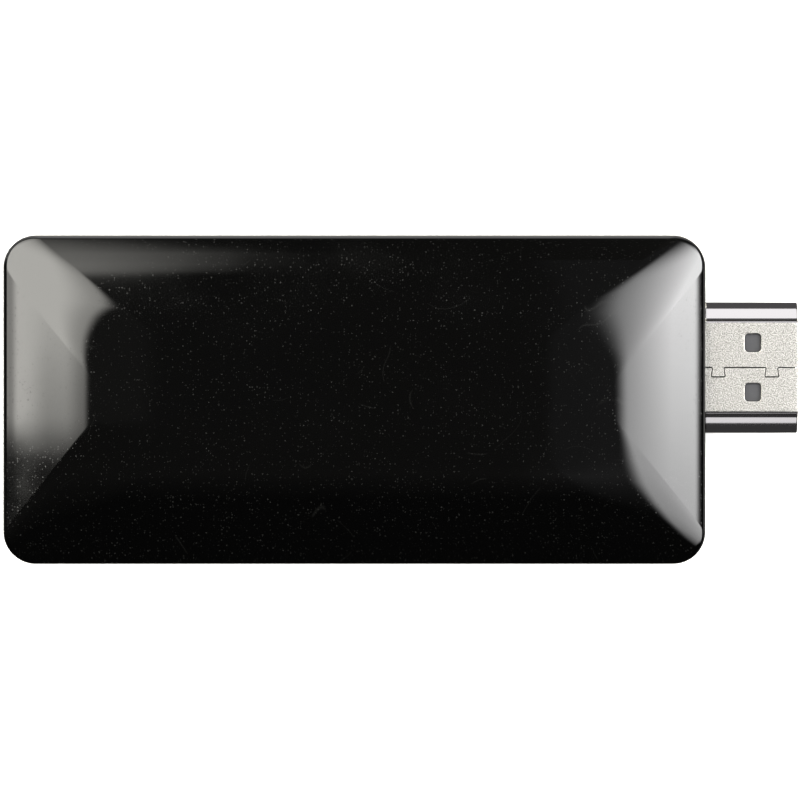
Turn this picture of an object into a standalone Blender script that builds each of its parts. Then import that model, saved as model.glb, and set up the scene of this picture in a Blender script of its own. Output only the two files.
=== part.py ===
"""A streaming media player stick: a domed gloss case with a digital video plug on one end.

Frame: +X runs from the power socket end to the video plug, +Z is up, and the origin is at the
centre of the underside of the whole stick, plug included. All sizes are metres, written as
millimetres times MM. Each object is one separate piece of the real thing.
"""

import math

import bmesh
import bpy
from mathutils import Vector

MM = 0.001

# ---- overall sizes of the case
BODY_LENGTH = 74.6 * MM
BODY_WIDTH = 35.0 * MM
BODY_HEIGHT = 12.0 * MM
CORNER_RADIUS = 3.4 * MM

# ---- the two shells
WALL = 1.6 * MM
ROOF = 1.5 * MM
FLOOR = 1.4 * MM
SIDE_DRAFT = 0.10 * MM
RIM_RADIUS = 0.35 * MM
EASE_RADIUS = 1.5 * MM
EASE_START = math.radians(45.0)
BASE_RADIUS = 2.0 * MM
EDGE_ANGLE = math.radians(30.0)
CROWN_SLOPE = 0.05
BORDER_WIDTH = 10.5 * MM
BORDER_POWER = 1.25
CORNER_GROWTH = 0.25
CREST_HALF_WIDTH = 0.5 * MM
SKIRT = 0.75 * MM
LIP_HEIGHT = 1.6 * MM
LIP_GAP = 0.15 * MM

# ---- clearances between neighbours
SEAT = 0.3 * MM
FINE_GAP = 0.1 * MM
PORT_GAP = 0.15 * MM

# ---- snaps between the shells
SNAP_COUNT = 3
SNAP_LENGTH = 4.0 * MM
SNAP_DEPTH = 0.4 * MM
SNAP_HEIGHT = 0.5 * MM
SNAP_RISE = 0.35 * MM
SNAP_PLAY = 0.15 * MM

# ---- the main board
BOARD_THICKNESS = 1.2 * MM
BOARD_DROP = 2.6 * MM
BOARD_SIDE_GAP = 0.9 * MM
BOARD_SOCKET_END_GAP = 1.0 * MM
BOARD_PLUG_END_GAP = 2.8 * MM
BOARD_CORNER = 1.5 * MM

# ---- the 19-contact video plug, wide side down
PLUG_REACH = 9.8 * MM
PLUG_WIDTH = 13.9 * MM
PLUG_HEIGHT = 4.45 * MM
PLUG_NARROW_WIDTH = 10.0 * MM
PLUG_SHOULDER_LOW = 0.25 * MM
PLUG_SHOULDER_HIGH = 1.35 * MM
PLUG_OFFSET = 3.4 * MM
PLUG_SHEET = 0.35 * MM
PLUG_WIDE_RADIUS = 0.6 * MM
PLUG_SHOULDER_RADIUS = 1.5 * MM
PLUG_CREASE_RADIUS = 0.65 * MM
PLUG_NARROW_RADIUS = 0.42 * MM
WINDOW_LENGTH = 1.65 * MM
WINDOW_WIDTH = 1.85 * MM
WINDOW_RADIUS = 0.35 * MM
WINDOW_SPACING = 5.25 * MM
WINDOW_FROM_CASE = 5.0 * MM
SEAM_WIDTH = 0.08 * MM
KEY_FROM_CASE = (1.3 * MM, 7.0 * MM)
KEY_WIDTH = 1.2 * MM
KEY_FLARE = 0.15 * MM
KEY_DEPTH = 1.0 * MM
PLUG_LEG_LENGTH = 2.8 * MM
PLUG_LEG_CLEAR = 0.65
INSULATOR_RECESS = 0.4 * MM
TONGUE_SLOT_WIDTH = 11.2 * MM
TONGUE_SLOT_DEPTH = 8.0 * MM
PIN_PITCH = 1.0 * MM
PIN_WIDTH = 0.45 * MM
PIN_THICKNESS = 0.2 * MM
PIN_TAIL = 2.2 * MM
PIN_BUMP = 0.12 * MM
WIDE_ROW_PINS = 10
NARROW_ROW_PINS = 9

# ---- the five-contact power socket
SOCKET_OFFSET = 5.0 * MM
SOCKET_RAISE = 0.3 * MM
SOCKET_WIDTH = 7.5 * MM
SOCKET_HEIGHT = 2.5 * MM
SOCKET_CHAMFER = 0.85 * MM
SOCKET_RADIUS = 0.35 * MM
SOCKET_SHEET = 0.3 * MM
SOCKET_DEPTH = 5.6 * MM
SOCKET_RECESS = 0.4 * MM
SOCKET_MOUTH_GAP = 0.4 * MM
SOCKET_FOOT_LENGTH = 2.4 * MM
SOCKET_FOOT_WIDTH = 1.1 * MM
BLADE_WIDTH = 3.7 * MM
BLADE_THICKNESS = 0.6 * MM
BLADE_LENGTH = 3.6 * MM
BLADE_BLOCK = 1.0 * MM
BLADE_PIN_PITCH = 0.65 * MM
BLADE_PIN_WIDTH = 0.35 * MM
BLADE_PIN_THICKNESS = 0.15 * MM
BLADE_PINS = 5

# ---- the pairing button and its switch
BUTTON_OFFSET = -5.5 * MM
BUTTON_LENGTH = 4.0 * MM
BUTTON_HEIGHT = 1.6 * MM
BUTTON_RECESS = 0.15 * MM
BUTTON_TRAVEL = 0.3 * MM
BUTTON_FLANGE = 0.7 * MM
BUTTON_FLANGE_OVERHANG = 0.8 * MM
SWITCH_LENGTH = 2.8 * MM
SWITCH_WIDTH = 4.6 * MM
SWITCH_HEIGHT = 1.6 * MM
SWITCH_FROM_BOARD_END = 1.2 * MM
PLUNGER_WIDTH = 1.6 * MM
PLUNGER_HEIGHT = 0.9 * MM
PLUNGER_ENGAGED = 0.8 * MM

# ---- the status light
LIGHT_OFFSET = -11.0 * MM
LIGHT_PIPE_DIAMETER = 1.4 * MM
LIGHT_FLANGE_DIAMETER = 2.4 * MM
LIGHT_FLANGE = 0.5 * MM
LED_LENGTH = 0.8 * MM
LED_WIDTH = 1.6 * MM
LED_HEIGHT = 1.2 * MM

# ---- screws, bosses and pegs
SCREW_DIAMETER = 1.6 * MM
SCREW_LENGTH = 3.6 * MM
SCREW_HEAD_DIAMETER = 3.2 * MM
SCREW_HEAD_HEIGHT = 1.0 * MM
SCREW_RECESS_LENGTH = 1.8 * MM
SCREW_RECESS_WIDTH = 0.4 * MM
SCREW_RECESS_DEPTH = 0.6 * MM
BOSS_DIAMETER = 4.4 * MM
PILOT_GAP = 0.2 * MM
PEG_DIAMETER = 1.6 * MM
PEG_PROUD = 0.4 * MM
POST_DIAMETER = 2.4 * MM

# ---- the chips and the cooling stack
PROCESSOR_SIDE = 14.0 * MM
PROCESSOR_HEIGHT = 0.9 * MM
PAD_SIDE = 12.0 * MM
PAD_HEIGHT = 0.4 * MM
SINK_LENGTH = 24.0 * MM
SINK_WIDTH = 20.0 * MM
SINK_BASE = 0.8 * MM
SINK_FINS = 7
SINK_FIN_THICKNESS = 1.2 * MM
SINK_ROOF_GAP = 0.4 * MM
MEMORY_LENGTH = 7.5 * MM
MEMORY_WIDTH = 9.0 * MM
MEMORY_HEIGHT = 0.9 * MM
CHIP_SPACE = 1.4 * MM
FLASH_LENGTH = 11.5 * MM
FLASH_WIDTH = 13.0 * MM
FLASH_HEIGHT = 1.0 * MM
CHIP_BEVEL = 0.12 * MM

# ---- the radio
RADIO_SIDE = 12.0 * MM
RADIO_BOARD = 0.6 * MM
RADIO_FROM_BOARD_END = 7.0 * MM
RADIO_OFFSET = 6.4 * MM
CAN_LENGTH = 8.4 * MM
CAN_WIDTH = 11.0 * MM
CAN_HEIGHT = 1.3 * MM
CAN_BEVEL = 0.3 * MM
COAX_PLUG_DIAMETER = 2.0 * MM
COAX_PLUG_HEIGHT = 1.0 * MM
ANTENNA_LENGTH = 18.0 * MM
ANTENNA_WIDTH = 7.0 * MM
ANTENNA_THICKNESS = 0.2 * MM
COAX_DIAMETER = 0.8 * MM

# ---- vents and the rating label on the underside
VENT_COUNT = 7
VENT_PITCH = 2.4 * MM
VENT_WIDTH = 1.0 * MM
VENT_LENGTH = 6.8 * MM
VENT_FROM_MIDDLE = 1.2 * MM
LABEL_LENGTH = 28.0 * MM
LABEL_WIDTH = 17.0 * MM
LABEL_RECESS = 0.35 * MM
LABEL_THICKNESS = 0.15 * MM
LABEL_RADIUS = 1.2 * MM

# ---- facets
CORNER_STEPS = 6
RIM_STEPS = 2
DOME_STEPS = 7
BASE_STEPS = 4
ROUND_STEPS = 3
CYLINDER_SIDES = 16
OVERLAP = 0.3 * MM

# ---- places worked out from the sizes
CASE_X = -PLUG_REACH / 2
SOCKET_END = CASE_X - BODY_LENGTH / 2
PLUG_END = CASE_X + BODY_LENGTH / 2
PLUG_TIP = PLUG_END + PLUG_REACH
BOARD_BOTTOM = FLOOR + BOARD_DROP
BOARD_TOP = BOARD_BOTTOM + BOARD_THICKNESS
SEAM_HEIGHT = BOARD_BOTTOM + BOARD_THICKNESS / 2
PLUG_Z = SEAM_HEIGHT
BOARD_START = SOCKET_END + WALL + BOARD_SOCKET_END_GAP
BOARD_END = PLUG_END - WALL - BOARD_PLUG_END_GAP
BOARD_HALF_WIDTH = BODY_WIDTH / 2 - WALL - BOARD_SIDE_GAP
ROW_Y = BOARD_HALF_WIDTH - 3.0 * MM
SCREW_PLACES = (
    (BOARD_START + 9.0 * MM, -ROW_Y),
    (BOARD_END - 5.0 * MM, -ROW_Y),
)
PEG_PLACES = (
    (BOARD_START + 3.2 * MM, ROW_Y + 0.4 * MM),
    (BOARD_END - 3.4 * MM, ROW_Y + 0.8 * MM),
)
POST_PLACES = (
    (BOARD_START + 17.0 * MM, -ROW_Y),
    (BOARD_END - 12.0 * MM, -ROW_Y),
)
RADIO_START = BOARD_START + RADIO_FROM_BOARD_END
MIDDLE_START = RADIO_START + RADIO_SIDE
MIDDLE_END = BOARD_END - PIN_TAIL
MIDDLE_X = (MIDDLE_START + MIDDLE_END) / 2
ROLL_WIDTH = (RIM_RADIUS * (1 - math.sin(EASE_START))
              + EASE_RADIUS * (math.sin(EASE_START) - math.sin(EDGE_ANGLE)))
ROLL_RISE = (RIM_RADIUS * math.cos(EASE_START)
             + EASE_RADIUS * (math.cos(EDGE_ANGLE) - math.cos(EASE_START)))
DOME_START = SIDE_DRAFT + ROLL_WIDTH
DOME_SPAN = BODY_WIDTH / 2 - DOME_START - CREST_HALF_WIDTH
BORDER_SLOPE = math.tan(EDGE_ANGLE) - CROWN_SLOPE
DOME_RISE = BORDER_SLOPE * BORDER_WIDTH / (BORDER_POWER + 1) + CROWN_SLOPE * DOME_SPAN / 2
RIM_HEIGHT = BODY_HEIGHT - DOME_RISE - ROLL_RISE


# ------------------------------------------------------------------ materials

def plastic(name, colour, roughness, metallic=0.0, alpha=1.0):
    """A Principled material with one colour, for a moulded, plated or coated piece."""
    finish = bpy.data.materials.new(name)
    finish.use_nodes = True
    shader = finish.node_tree.nodes["Principled BSDF"]
    shader.inputs["Base Color"].default_value = (*colour, 1.0)
    shader.inputs["Roughness"].default_value = roughness
    shader.inputs["Metallic"].default_value = metallic
    shader.inputs["Alpha"].default_value = alpha
    finish.diffuse_color = (*colour, alpha)
    return finish


def make_materials():
    return {
        "gloss_case": plastic("gloss_case", (0.008, 0.008, 0.009), 0.12),
        "button": plastic("button", (0.02, 0.02, 0.022), 0.45),
        "light_guide": plastic("light_guide", (0.85, 0.87, 0.88), 0.1, alpha=0.5),
        "led": plastic("led", (0.85, 0.82, 0.65), 0.3),
        "nickel": plastic("nickel", (0.72, 0.71, 0.68), 0.3, 1.0),
        "gold": plastic("gold", (0.86, 0.62, 0.24), 0.25, 1.0),
        "insulator": plastic("insulator", (0.03, 0.03, 0.03), 0.5),
        "board": plastic("board", (0.01, 0.09, 0.04), 0.35),
        "chip": plastic("chip", (0.02, 0.02, 0.022), 0.55),
        "ferrite": plastic("ferrite", (0.09, 0.09, 0.095), 0.6),
        "tantalum": plastic("tantalum", (0.75, 0.5, 0.08), 0.45),
        "aluminium": plastic("aluminium", (0.7, 0.7, 0.72), 0.35, 1.0),
        "thermal_pad": plastic("thermal_pad", (0.35, 0.42, 0.5), 0.8),
        "screw": plastic("screw", (0.3, 0.3, 0.31), 0.35, 1.0),
        "flex": plastic("flex", (0.45, 0.22, 0.05), 0.4),
        "coax": plastic("coax", (0.03, 0.03, 0.03), 0.5),
        "label": plastic("label", (0.45, 0.46, 0.47), 0.5),
    }


# ------------------------------------------------------------------ shape helpers

def object_from(name, build, material=None):
    """Links a new object whose mesh is what build leaves in the bmesh it is given."""
    mesh = bpy.data.meshes.new(name)
    bm = bmesh.new()
    build(bm)
    bmesh.ops.recalc_face_normals(bm, faces=bm.faces)
    bm.to_mesh(mesh)
    bm.free()
    obj = bpy.data.objects.new(name, mesh)
    bpy.context.scene.collection.objects.link(obj)
    if material:
        mesh.materials.append(material)
    return obj


def loft(rings):
    """A builder that skins equal rings of points and caps the first and the last."""
    def build(bm):
        loops = [[bm.verts.new(point) for point in ring] for ring in rings]
        count = len(loops[0])
        for low, high in zip(loops, loops[1:]):
            for i in range(count):
                j = (i + 1) % count
                bm.faces.new((low[i], low[j], high[j], high[i]))
        bm.faces.new(loops[0])
        bm.faces.new(loops[-1])
    return build


def prism(outline, axis, start, end):
    """A builder for a flat outline drawn out along one axis. The outline's two numbers are
    the other two coordinates in X, Y, Z order."""
    def placed(along):
        if axis == "x":
            return [(along, a, b) for a, b in outline]
        if axis == "y":
            return [(a, along, b) for a, b in outline]
        return [(a, b, along) for a, b in outline]
    return loft([placed(start), placed(end)])


def box(low, high):
    return prism([(low[0], low[1]), (high[0], low[1]), (high[0], high[1]), (low[0], high[1])],
                 "z", low[2], high[2])


def box_at(x, y, low_z, length, width, height):
    """A box by the middle of its foot."""
    return box((x - length / 2, y - width / 2, low_z), (x + length / 2, y + width / 2, low_z + height))


def circle(centre, radius, sides=CYLINDER_SIDES):
    turns = [2 * math.pi * (i + 0.5) / sides for i in range(sides)]
    return [(centre[0] + radius * math.cos(t), centre[1] + radius * math.sin(t)) for t in turns]


def rounded_rectangle(centre, half_x, half_y, radius, steps=CORNER_STEPS):
    points = []
    for corner, (sx, sy) in enumerate(((1, 1), (-1, 1), (-1, -1), (1, -1))):
        for step in range(steps + 1):
            turn = math.pi / 2 * (corner + step / steps)
            points.append((
                centre[0] + sx * (half_x - radius) + radius * math.cos(turn),
                centre[1] + sy * (half_y - radius) + radius * math.sin(turn),
            ))
    return points


def rounded_polygon(corners, radii, steps=ROUND_STEPS):
    """The polygon with each corner replaced by an arc of its radius, or of the largest one that
    leaves room on both its edges for the arcs next to it."""
    corners = [Vector(corner) for corner in corners]
    arms, halves, reaches = [], [], []
    for i, (here, radius) in enumerate(zip(corners, radii)):
        back = (corners[i - 1] - here).normalized()
        ahead = (corners[(i + 1) % len(corners)] - here).normalized()
        arms.append((back, ahead))
        halves.append(back.angle(ahead) / 2)
        reaches.append(radius / math.tan(halves[i]))
    points = []
    for i, (here, radius) in enumerate(zip(corners, radii)):
        limit = 1.0
        for j in (i - 1, (i + 1) % len(corners)):
            edge = (corners[j] - here).length
            limit = min(limit, 0.95 * edge / (reaches[i] + reaches[j]))
        radius *= limit
        back, ahead = arms[i]
        start = here + back * radius / math.tan(halves[i])
        end = here + ahead * radius / math.tan(halves[i])
        centre = here + (back + ahead).normalized() * radius / math.sin(halves[i])
        for step in range(steps + 1):
            arm = (start - centre).lerp(end - centre, step / steps).normalized() * radius
            points.append(tuple(centre + arm))
    return points


def inset_polygon(corners, distance):
    """An anticlockwise polygon with every edge moved inwards by the distance."""
    moved = []
    for i, corner in enumerate(corners):
        here = Vector(corner)
        into = (here - Vector(corners[i - 1])).normalized()
        out = (Vector(corners[(i + 1) % len(corners)]) - here).normalized()
        normal_in = Vector((-into.y, into.x))
        normal_out = Vector((-out.y, out.x))
        step = (normal_in + normal_out) / (1 + normal_in.dot(normal_out))
        moved.append(tuple(here + step * distance))
    return moved


def helper(name, build):
    """A tool body for a Boolean: drawn as wire and left out of the assembly."""
    tool = object_from(name, build)
    tool.hide_render = True
    tool.display_type = "WIRE"
    return tool


def combine(target, operation, *tools):
    for tool in tools:
        step = target.modifiers.new(tool.name, "BOOLEAN")
        step.operation = operation
        step.object = tool


def cut(target, *tools):
    combine(target, "DIFFERENCE", *tools)


def add(target, *tools):
    combine(target, "UNION", *tools)


def bevel(target, width, segments=1):
    edge = target.modifiers.new("edge", "BEVEL")
    edge.width = width
    edge.segments = segments
    edge.limit_method = "ANGLE"


def smooth(target, degrees=35.0):
    target.data.shade_smooth()
    target.data.set_sharp_from_angle(angle=math.radians(degrees))


# ------------------------------------------------------------------ the case

def case_ring(inset, height):
    """The case's outline moved in by the inset, at one height. Its corners open up inwards."""
    half_x = BODY_LENGTH / 2 - inset
    half_y = BODY_WIDTH / 2 - inset
    radius = min(CORNER_RADIUS + CORNER_GROWTH * inset, 0.95 * half_y)
    return [(x, y, height) for x, y in rounded_rectangle((CASE_X, 0.0), half_x, half_y, radius)]


def dome_drop(run):
    """How far the cover's outer face lies under its crest, at a run in from the rolled edge."""
    border = max(0.0, 1 - run / BORDER_WIDTH) ** (BORDER_POWER + 1)
    crown = max(0.0, 1 - run / DOME_SPAN) ** 2
    return (BORDER_SLOPE * BORDER_WIDTH / (BORDER_POWER + 1) * border
            + CROWN_SLOPE * DOME_SPAN / 2 * crown)


def roof_inside(x, y):
    """Height of the cover's inner face over a point, from the nearer wall's inset."""
    inset = min(BODY_LENGTH / 2 - abs(x - CASE_X), BODY_WIDTH / 2 - abs(y))
    run = max(0.0, inset - DOME_START)
    return BODY_HEIGHT - dome_drop(run) - ROOF


def wall_top():
    """Height at which the cover's inner wall face starts to turn into its roof."""
    return roof_inside(CASE_X, BODY_WIDTH / 2 - WALL) - ROLL_WIDTH


def cover_outside():
    """(inset, height) pairs up the cover's outer face, from the seam to the crest: a drafted wall,
    a small radius that eases into a larger one, and the dome."""
    profile = [(0.0, SEAM_HEIGHT + SEAT / 2), (SIDE_DRAFT, RIM_HEIGHT)]
    turns = ((RIM_RADIUS, math.pi / 2, EASE_START), (EASE_RADIUS, EASE_START, EDGE_ANGLE))
    for radius, first, last in turns:
        inset, height = profile[-1]
        for step in range(1, RIM_STEPS + 1):
            tilt = first + (last - first) * step / RIM_STEPS
            profile.append((inset + radius * (math.sin(first) - math.sin(tilt)),
                            height + radius * (math.cos(tilt) - math.cos(first))))
    for step in range(1, DOME_STEPS + 1):
        run = DOME_SPAN * (step / DOME_STEPS) ** 1.3
        profile.append((DOME_START + run, BODY_HEIGHT - dome_drop(run)))
    return profile


def cover_inside(outside):
    """(inset, height) pairs down the cover's inner face, from the crest to the seam."""
    profile = [(inset, height - ROOF) for inset, height in reversed(outside) if inset > WALL + ROLL_WIDTH]
    rebate = SEAM_HEIGHT + LIP_HEIGHT + SEAT
    profile += [(WALL, wall_top()), (WALL, rebate), (SKIRT, rebate), (SKIRT, SEAM_HEIGHT + SEAT / 2)]
    return profile


def snap_places():
    """Middles of the snaps along each long side."""
    pitch = BODY_LENGTH / SNAP_COUNT
    return [CASE_X + pitch * (i - (SNAP_COUNT - 1) / 2) for i in range(SNAP_COUNT)]


def make_top_cover(material, ports):
    outside = cover_outside()
    rings = [case_ring(inset, height) for inset, height in reversed(outside)]
    rings += [case_ring(inset, height) for inset, height in reversed(cover_inside(outside))]
    cover = object_from("top_cover", loft(rings), material)
    half = BODY_WIDTH / 2
    for i, x in enumerate(snap_places()):
        for side, name in ((1, "left"), (-1, "right")):
            faces = sorted((side * (half - SKIRT + OVERLAP), side * (half - SKIRT - SNAP_DEPTH)))
            low = (x - SNAP_LENGTH / 2, faces[0], SEAM_HEIGHT + SNAP_RISE)
            high = (x + SNAP_LENGTH / 2, faces[1], SEAM_HEIGHT + SNAP_RISE + SNAP_HEIGHT)
            add(cover, helper(f"snap_{name}_{i + 1}", box(low, high)))
    for i, place in enumerate(POST_PLACES):
        top = roof_inside(*place) + ROOF / 2
        outline = circle(place, POST_DIAMETER / 2)
        add(cover, helper(f"post_{i + 1}", prism(outline, "z", BOARD_TOP + SEAT, top)))
    cut(cover, *ports)
    smooth(cover)
    return cover


def base_profile():
    """(inset, height) pairs from the middle of the floor, over the lip, to the underside."""
    reach = BODY_WIDTH / 2 - CREST_HALF_WIDTH
    floor_round = BASE_RADIUS - FLOOR / 2
    profile = [(reach, FLOOR), (WALL + floor_round, FLOOR), (WALL, FLOOR + floor_round)]
    profile += [(WALL, SEAM_HEIGHT + LIP_HEIGHT), (SKIRT + LIP_GAP, SEAM_HEIGHT + LIP_HEIGHT)]
    profile += [(SKIRT + LIP_GAP, SEAM_HEIGHT - SEAT / 2), (0.0, SEAM_HEIGHT - SEAT / 2)]
    for step in range(BASE_STEPS + 1):
        turn = math.pi / 2 * step / BASE_STEPS
        profile.append((SIDE_DRAFT + BASE_RADIUS * (1 - math.cos(turn)),
                        BASE_RADIUS * (1 - math.sin(turn))))
    return profile


def make_bottom_tray(material, ports):
    profile = base_profile()
    reach = BODY_WIDTH / 2 - CREST_HALF_WIDTH
    rings = [case_ring(inset, height) for inset, height in profile + [(reach, 0.0)]]
    tray = object_from("bottom_tray", loft(rings), material)
    half = BODY_WIDTH / 2
    window = SNAP_LENGTH / 2 + SNAP_PLAY
    for i, x in enumerate(snap_places()):
        low = (x - window, -half + SKIRT, SEAM_HEIGHT + SNAP_RISE - SNAP_PLAY)
        high = (x + window, half - SKIRT, SEAM_HEIGHT + SNAP_RISE + SNAP_HEIGHT + SNAP_PLAY)
        cut(tray, helper(f"snap_window_{i + 1}", box(low, high)))
    stand = BOARD_BOTTOM - SEAT
    for i, place in enumerate(SCREW_PLACES):
        boss = prism(circle(place, BOSS_DIAMETER / 2), "z", FLOOR - OVERLAP, stand)
        pilot = prism(circle(place, SCREW_DIAMETER / 2 + PILOT_GAP), "z", FLOOR - OVERLAP, stand + OVERLAP)
        add(tray, helper(f"boss_{i + 1}", boss))
        cut(tray, helper(f"pilot_{i + 1}", pilot))
    for i, place in enumerate(PEG_PLACES):
        rest = prism(circle(place, BOSS_DIAMETER / 2), "z", FLOOR - OVERLAP, stand)
        peg = prism(circle(place, PEG_DIAMETER / 2), "z", stand - OVERLAP, BOARD_TOP + PEG_PROUD)
        add(tray, helper(f"peg_rest_{i + 1}", rest), helper(f"peg_{i + 1}", peg))
    for row, side in (("left", 1), ("right", -1)):
        y = side * (VENT_FROM_MIDDLE + VENT_LENGTH / 2)
        for i in range(VENT_COUNT):
            x = MIDDLE_X + CHIP_SPACE + VENT_PITCH * i
            slot = rounded_rectangle((x, y), VENT_WIDTH / 2, VENT_LENGTH / 2, 0.48 * VENT_WIDTH, 2)
            cut(tray, helper(f"vent_{row}_{i + 1}", prism(slot, "z", -OVERLAP, FLOOR + OVERLAP)))
    cut(tray, helper("label_recess", label_body(FINE_GAP, -OVERLAP, LABEL_RECESS)), *ports)
    smooth(tray)
    return tray


def label_body(margin, low, high):
    outline = rounded_rectangle(
        (MIDDLE_X - CHIP_SPACE - VENT_PITCH - LABEL_LENGTH / 2, 0.0),
        LABEL_LENGTH / 2 + margin, LABEL_WIDTH / 2 + margin, LABEL_RADIUS, 3)
    return prism(outline, "z", low, high)


def make_label(material):
    low = LABEL_RECESS - FINE_GAP - LABEL_THICKNESS
    return object_from("rating_label", label_body(-FINE_GAP, low, low + LABEL_THICKNESS), material)


# ------------------------------------------------------------------ the video plug

def plug_corners():
    """The plug's outline round its own middle, as (y, z), anticlockwise, narrow side up."""
    wide, narrow, half = PLUG_WIDTH / 2, PLUG_NARROW_WIDTH / 2, PLUG_HEIGHT / 2
    right = [(wide, -half), (wide, PLUG_SHOULDER_LOW), (narrow, PLUG_SHOULDER_HIGH), (narrow, half)]
    return right + [(-y, z) for y, z in reversed(right)]


def plug_outline(inset):
    """The rounded outline, moved in by the inset, in the stick's frame."""
    radii = [
        PLUG_WIDE_RADIUS - inset, PLUG_SHOULDER_RADIUS - inset,
        PLUG_CREASE_RADIUS + inset, PLUG_NARROW_RADIUS - inset,
    ]
    radii = [max(radius, 0.05 * MM) for radius in radii + radii[::-1]]
    corners = inset_polygon(plug_corners(), inset)
    return [(PLUG_OFFSET + y, PLUG_Z + z) for y, z in rounded_polygon(corners, radii)]


def key_path(start, end):
    """The line of the shell's folded seam, with a dovetail key at each of its places."""
    path = [(start, PLUG_OFFSET)]
    for place in KEY_FROM_CASE:
        middle = PLUG_END + place
        neck, foot = KEY_WIDTH / 2, KEY_WIDTH / 2 + KEY_FLARE
        path += [
            (middle - neck, PLUG_OFFSET), (middle - foot, PLUG_OFFSET - KEY_DEPTH),
            (middle + foot, PLUG_OFFSET - KEY_DEPTH), (middle + neck, PLUG_OFFSET),
        ]
    return path + [(end, PLUG_OFFSET)]


def ribbon(path, width):
    """A flat strip of one width along a path, as an outline."""
    sides = [[], []]
    for i, point in enumerate(path):
        here = Vector(point)
        into = (here - Vector(path[i - 1])).normalized() if i else None
        out = (Vector(path[i + 1]) - here).normalized() if i + 1 < len(path) else None
        into, out = into or out, out or into
        normal_in = Vector((-into.y, into.x))
        normal_out = Vector((-out.y, out.x))
        step = (normal_in + normal_out) / (1 + normal_in.dot(normal_out)) * width / 2
        sides[0].append(tuple(here + step))
        sides[1].append(tuple(here - step))
    return sides[0] + sides[1][::-1]


def make_plug_shell(material):
    rear = BOARD_END + 2 * SEAT
    shell = object_from("video_plug_shell", prism(plug_outline(0.0), "x", rear, PLUG_TIP), material)
    hollow = prism(plug_outline(PLUG_SHEET), "x", rear - OVERLAP, PLUG_TIP + OVERLAP)
    cut(shell, helper("plug_hollow", hollow))
    face = PLUG_Z + PLUG_HEIGHT / 2
    for side, name in ((1, "left"), (-1, "right")):
        middle = (PLUG_END + WINDOW_FROM_CASE, PLUG_OFFSET + side * WINDOW_SPACING / 2)
        outline = rounded_rectangle(middle, WINDOW_LENGTH / 2, WINDOW_WIDTH / 2, WINDOW_RADIUS, 3)
        window = prism(outline, "z", face - PLUG_SHEET - OVERLAP / 2, face + OVERLAP)
        cut(shell, helper(f"latch_window_{name}", window))
        y = PLUG_OFFSET + side * (PLUG_WIDTH - PLUG_SHEET) / 2
        low = PLUG_Z - PLUG_HEIGHT / 2 + PLUG_WIDE_RADIUS
        high = PLUG_Z + PLUG_SHOULDER_LOW - PLUG_LEG_CLEAR * PLUG_SHOULDER_RADIUS
        leg = box((rear - PLUG_LEG_LENGTH, y - 0.4 * PLUG_SHEET, low),
                  (rear + OVERLAP, y + 0.4 * PLUG_SHEET, high))
        add(shell, helper(f"plug_leg_{name}", leg))
    seam = ribbon(key_path(rear - OVERLAP, PLUG_TIP + OVERLAP), SEAM_WIDTH)
    cut(shell, helper("plug_seam", prism(seam, "z", face - PLUG_SHEET - OVERLAP / 2, face + OVERLAP)))
    smooth(shell)
    return shell


def pin_rows():
    """(name, y, side) of the 19 contacts: odd ones below on the wide side, even ones above."""
    wide = [(2 * i + 1, PLUG_OFFSET + PIN_PITCH * (i - (WIDE_ROW_PINS - 1) / 2), -1)
            for i in range(WIDE_ROW_PINS)]
    narrow = [(2 * i + 2, PLUG_OFFSET + PIN_PITCH * (i - (NARROW_ROW_PINS - 1) / 2), 1)
              for i in range(NARROW_ROW_PINS)]
    return [(f"video_contact_{number:02d}", y, side) for number, y, side in sorted(wide + narrow)]


def pin_faces(side):
    """Heights of a contact's two faces, beside the board's surface on that side."""
    near = BOARD_THICKNESS / 2 + FINE_GAP
    return PLUG_Z + side * near, PLUG_Z + side * (near + PIN_THICKNESS)


def make_plug_insulator(material):
    front = PLUG_TIP - INSULATOR_RECESS
    rear = BOARD_END + SEAT
    body = prism(plug_outline(PLUG_SHEET + FINE_GAP), "x", rear, front)
    insulator = object_from("video_plug_insulator", body, material)
    half_slot = BOARD_THICKNESS / 2 + FINE_GAP + PIN_THICKNESS + FINE_GAP
    slot = box((front - TONGUE_SLOT_DEPTH, PLUG_OFFSET - TONGUE_SLOT_WIDTH / 2, PLUG_Z - half_slot),
               (front + OVERLAP, PLUG_OFFSET + TONGUE_SLOT_WIDTH / 2, PLUG_Z + half_slot))
    cut(insulator, helper("tongue_slot", slot))
    for name, y, side in pin_rows():
        low, high = sorted(pin_faces(side))
        way = box((rear - OVERLAP, y - PIN_WIDTH / 2 - FINE_GAP, low - FINE_GAP),
                  (front - TONGUE_SLOT_DEPTH + OVERLAP, y + PIN_WIDTH / 2 + FINE_GAP, high + FINE_GAP))
        cut(insulator, helper(f"way_{name}", way))
    return insulator


def make_plug_contacts(material):
    tail = BOARD_END - PIN_TAIL
    tip = PLUG_TIP - INSULATOR_RECESS - SEAT
    for name, y, side in pin_rows():
        near, far = pin_faces(side)
        bump = side * PIN_BUMP
        stations = (
            (tail, 0.0), (tip - 3.4 * MM, 0.0), (tip - 1.6 * MM, -bump), (tip, 0.0),
        )
        outline = [(x, near + shift) for x, shift in stations]
        outline += [(x, far + shift) for x, shift in reversed(stations)]
        object_from(name, prism(outline, "y", y - PIN_WIDTH / 2, y + PIN_WIDTH / 2), material)


# ------------------------------------------------------------------ the power socket

SOCKET_Z = SEAM_HEIGHT + SOCKET_RAISE
SOCKET_MOUTH = SOCKET_END + SOCKET_RECESS
SOCKET_REAR = SOCKET_MOUTH + SOCKET_DEPTH


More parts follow.
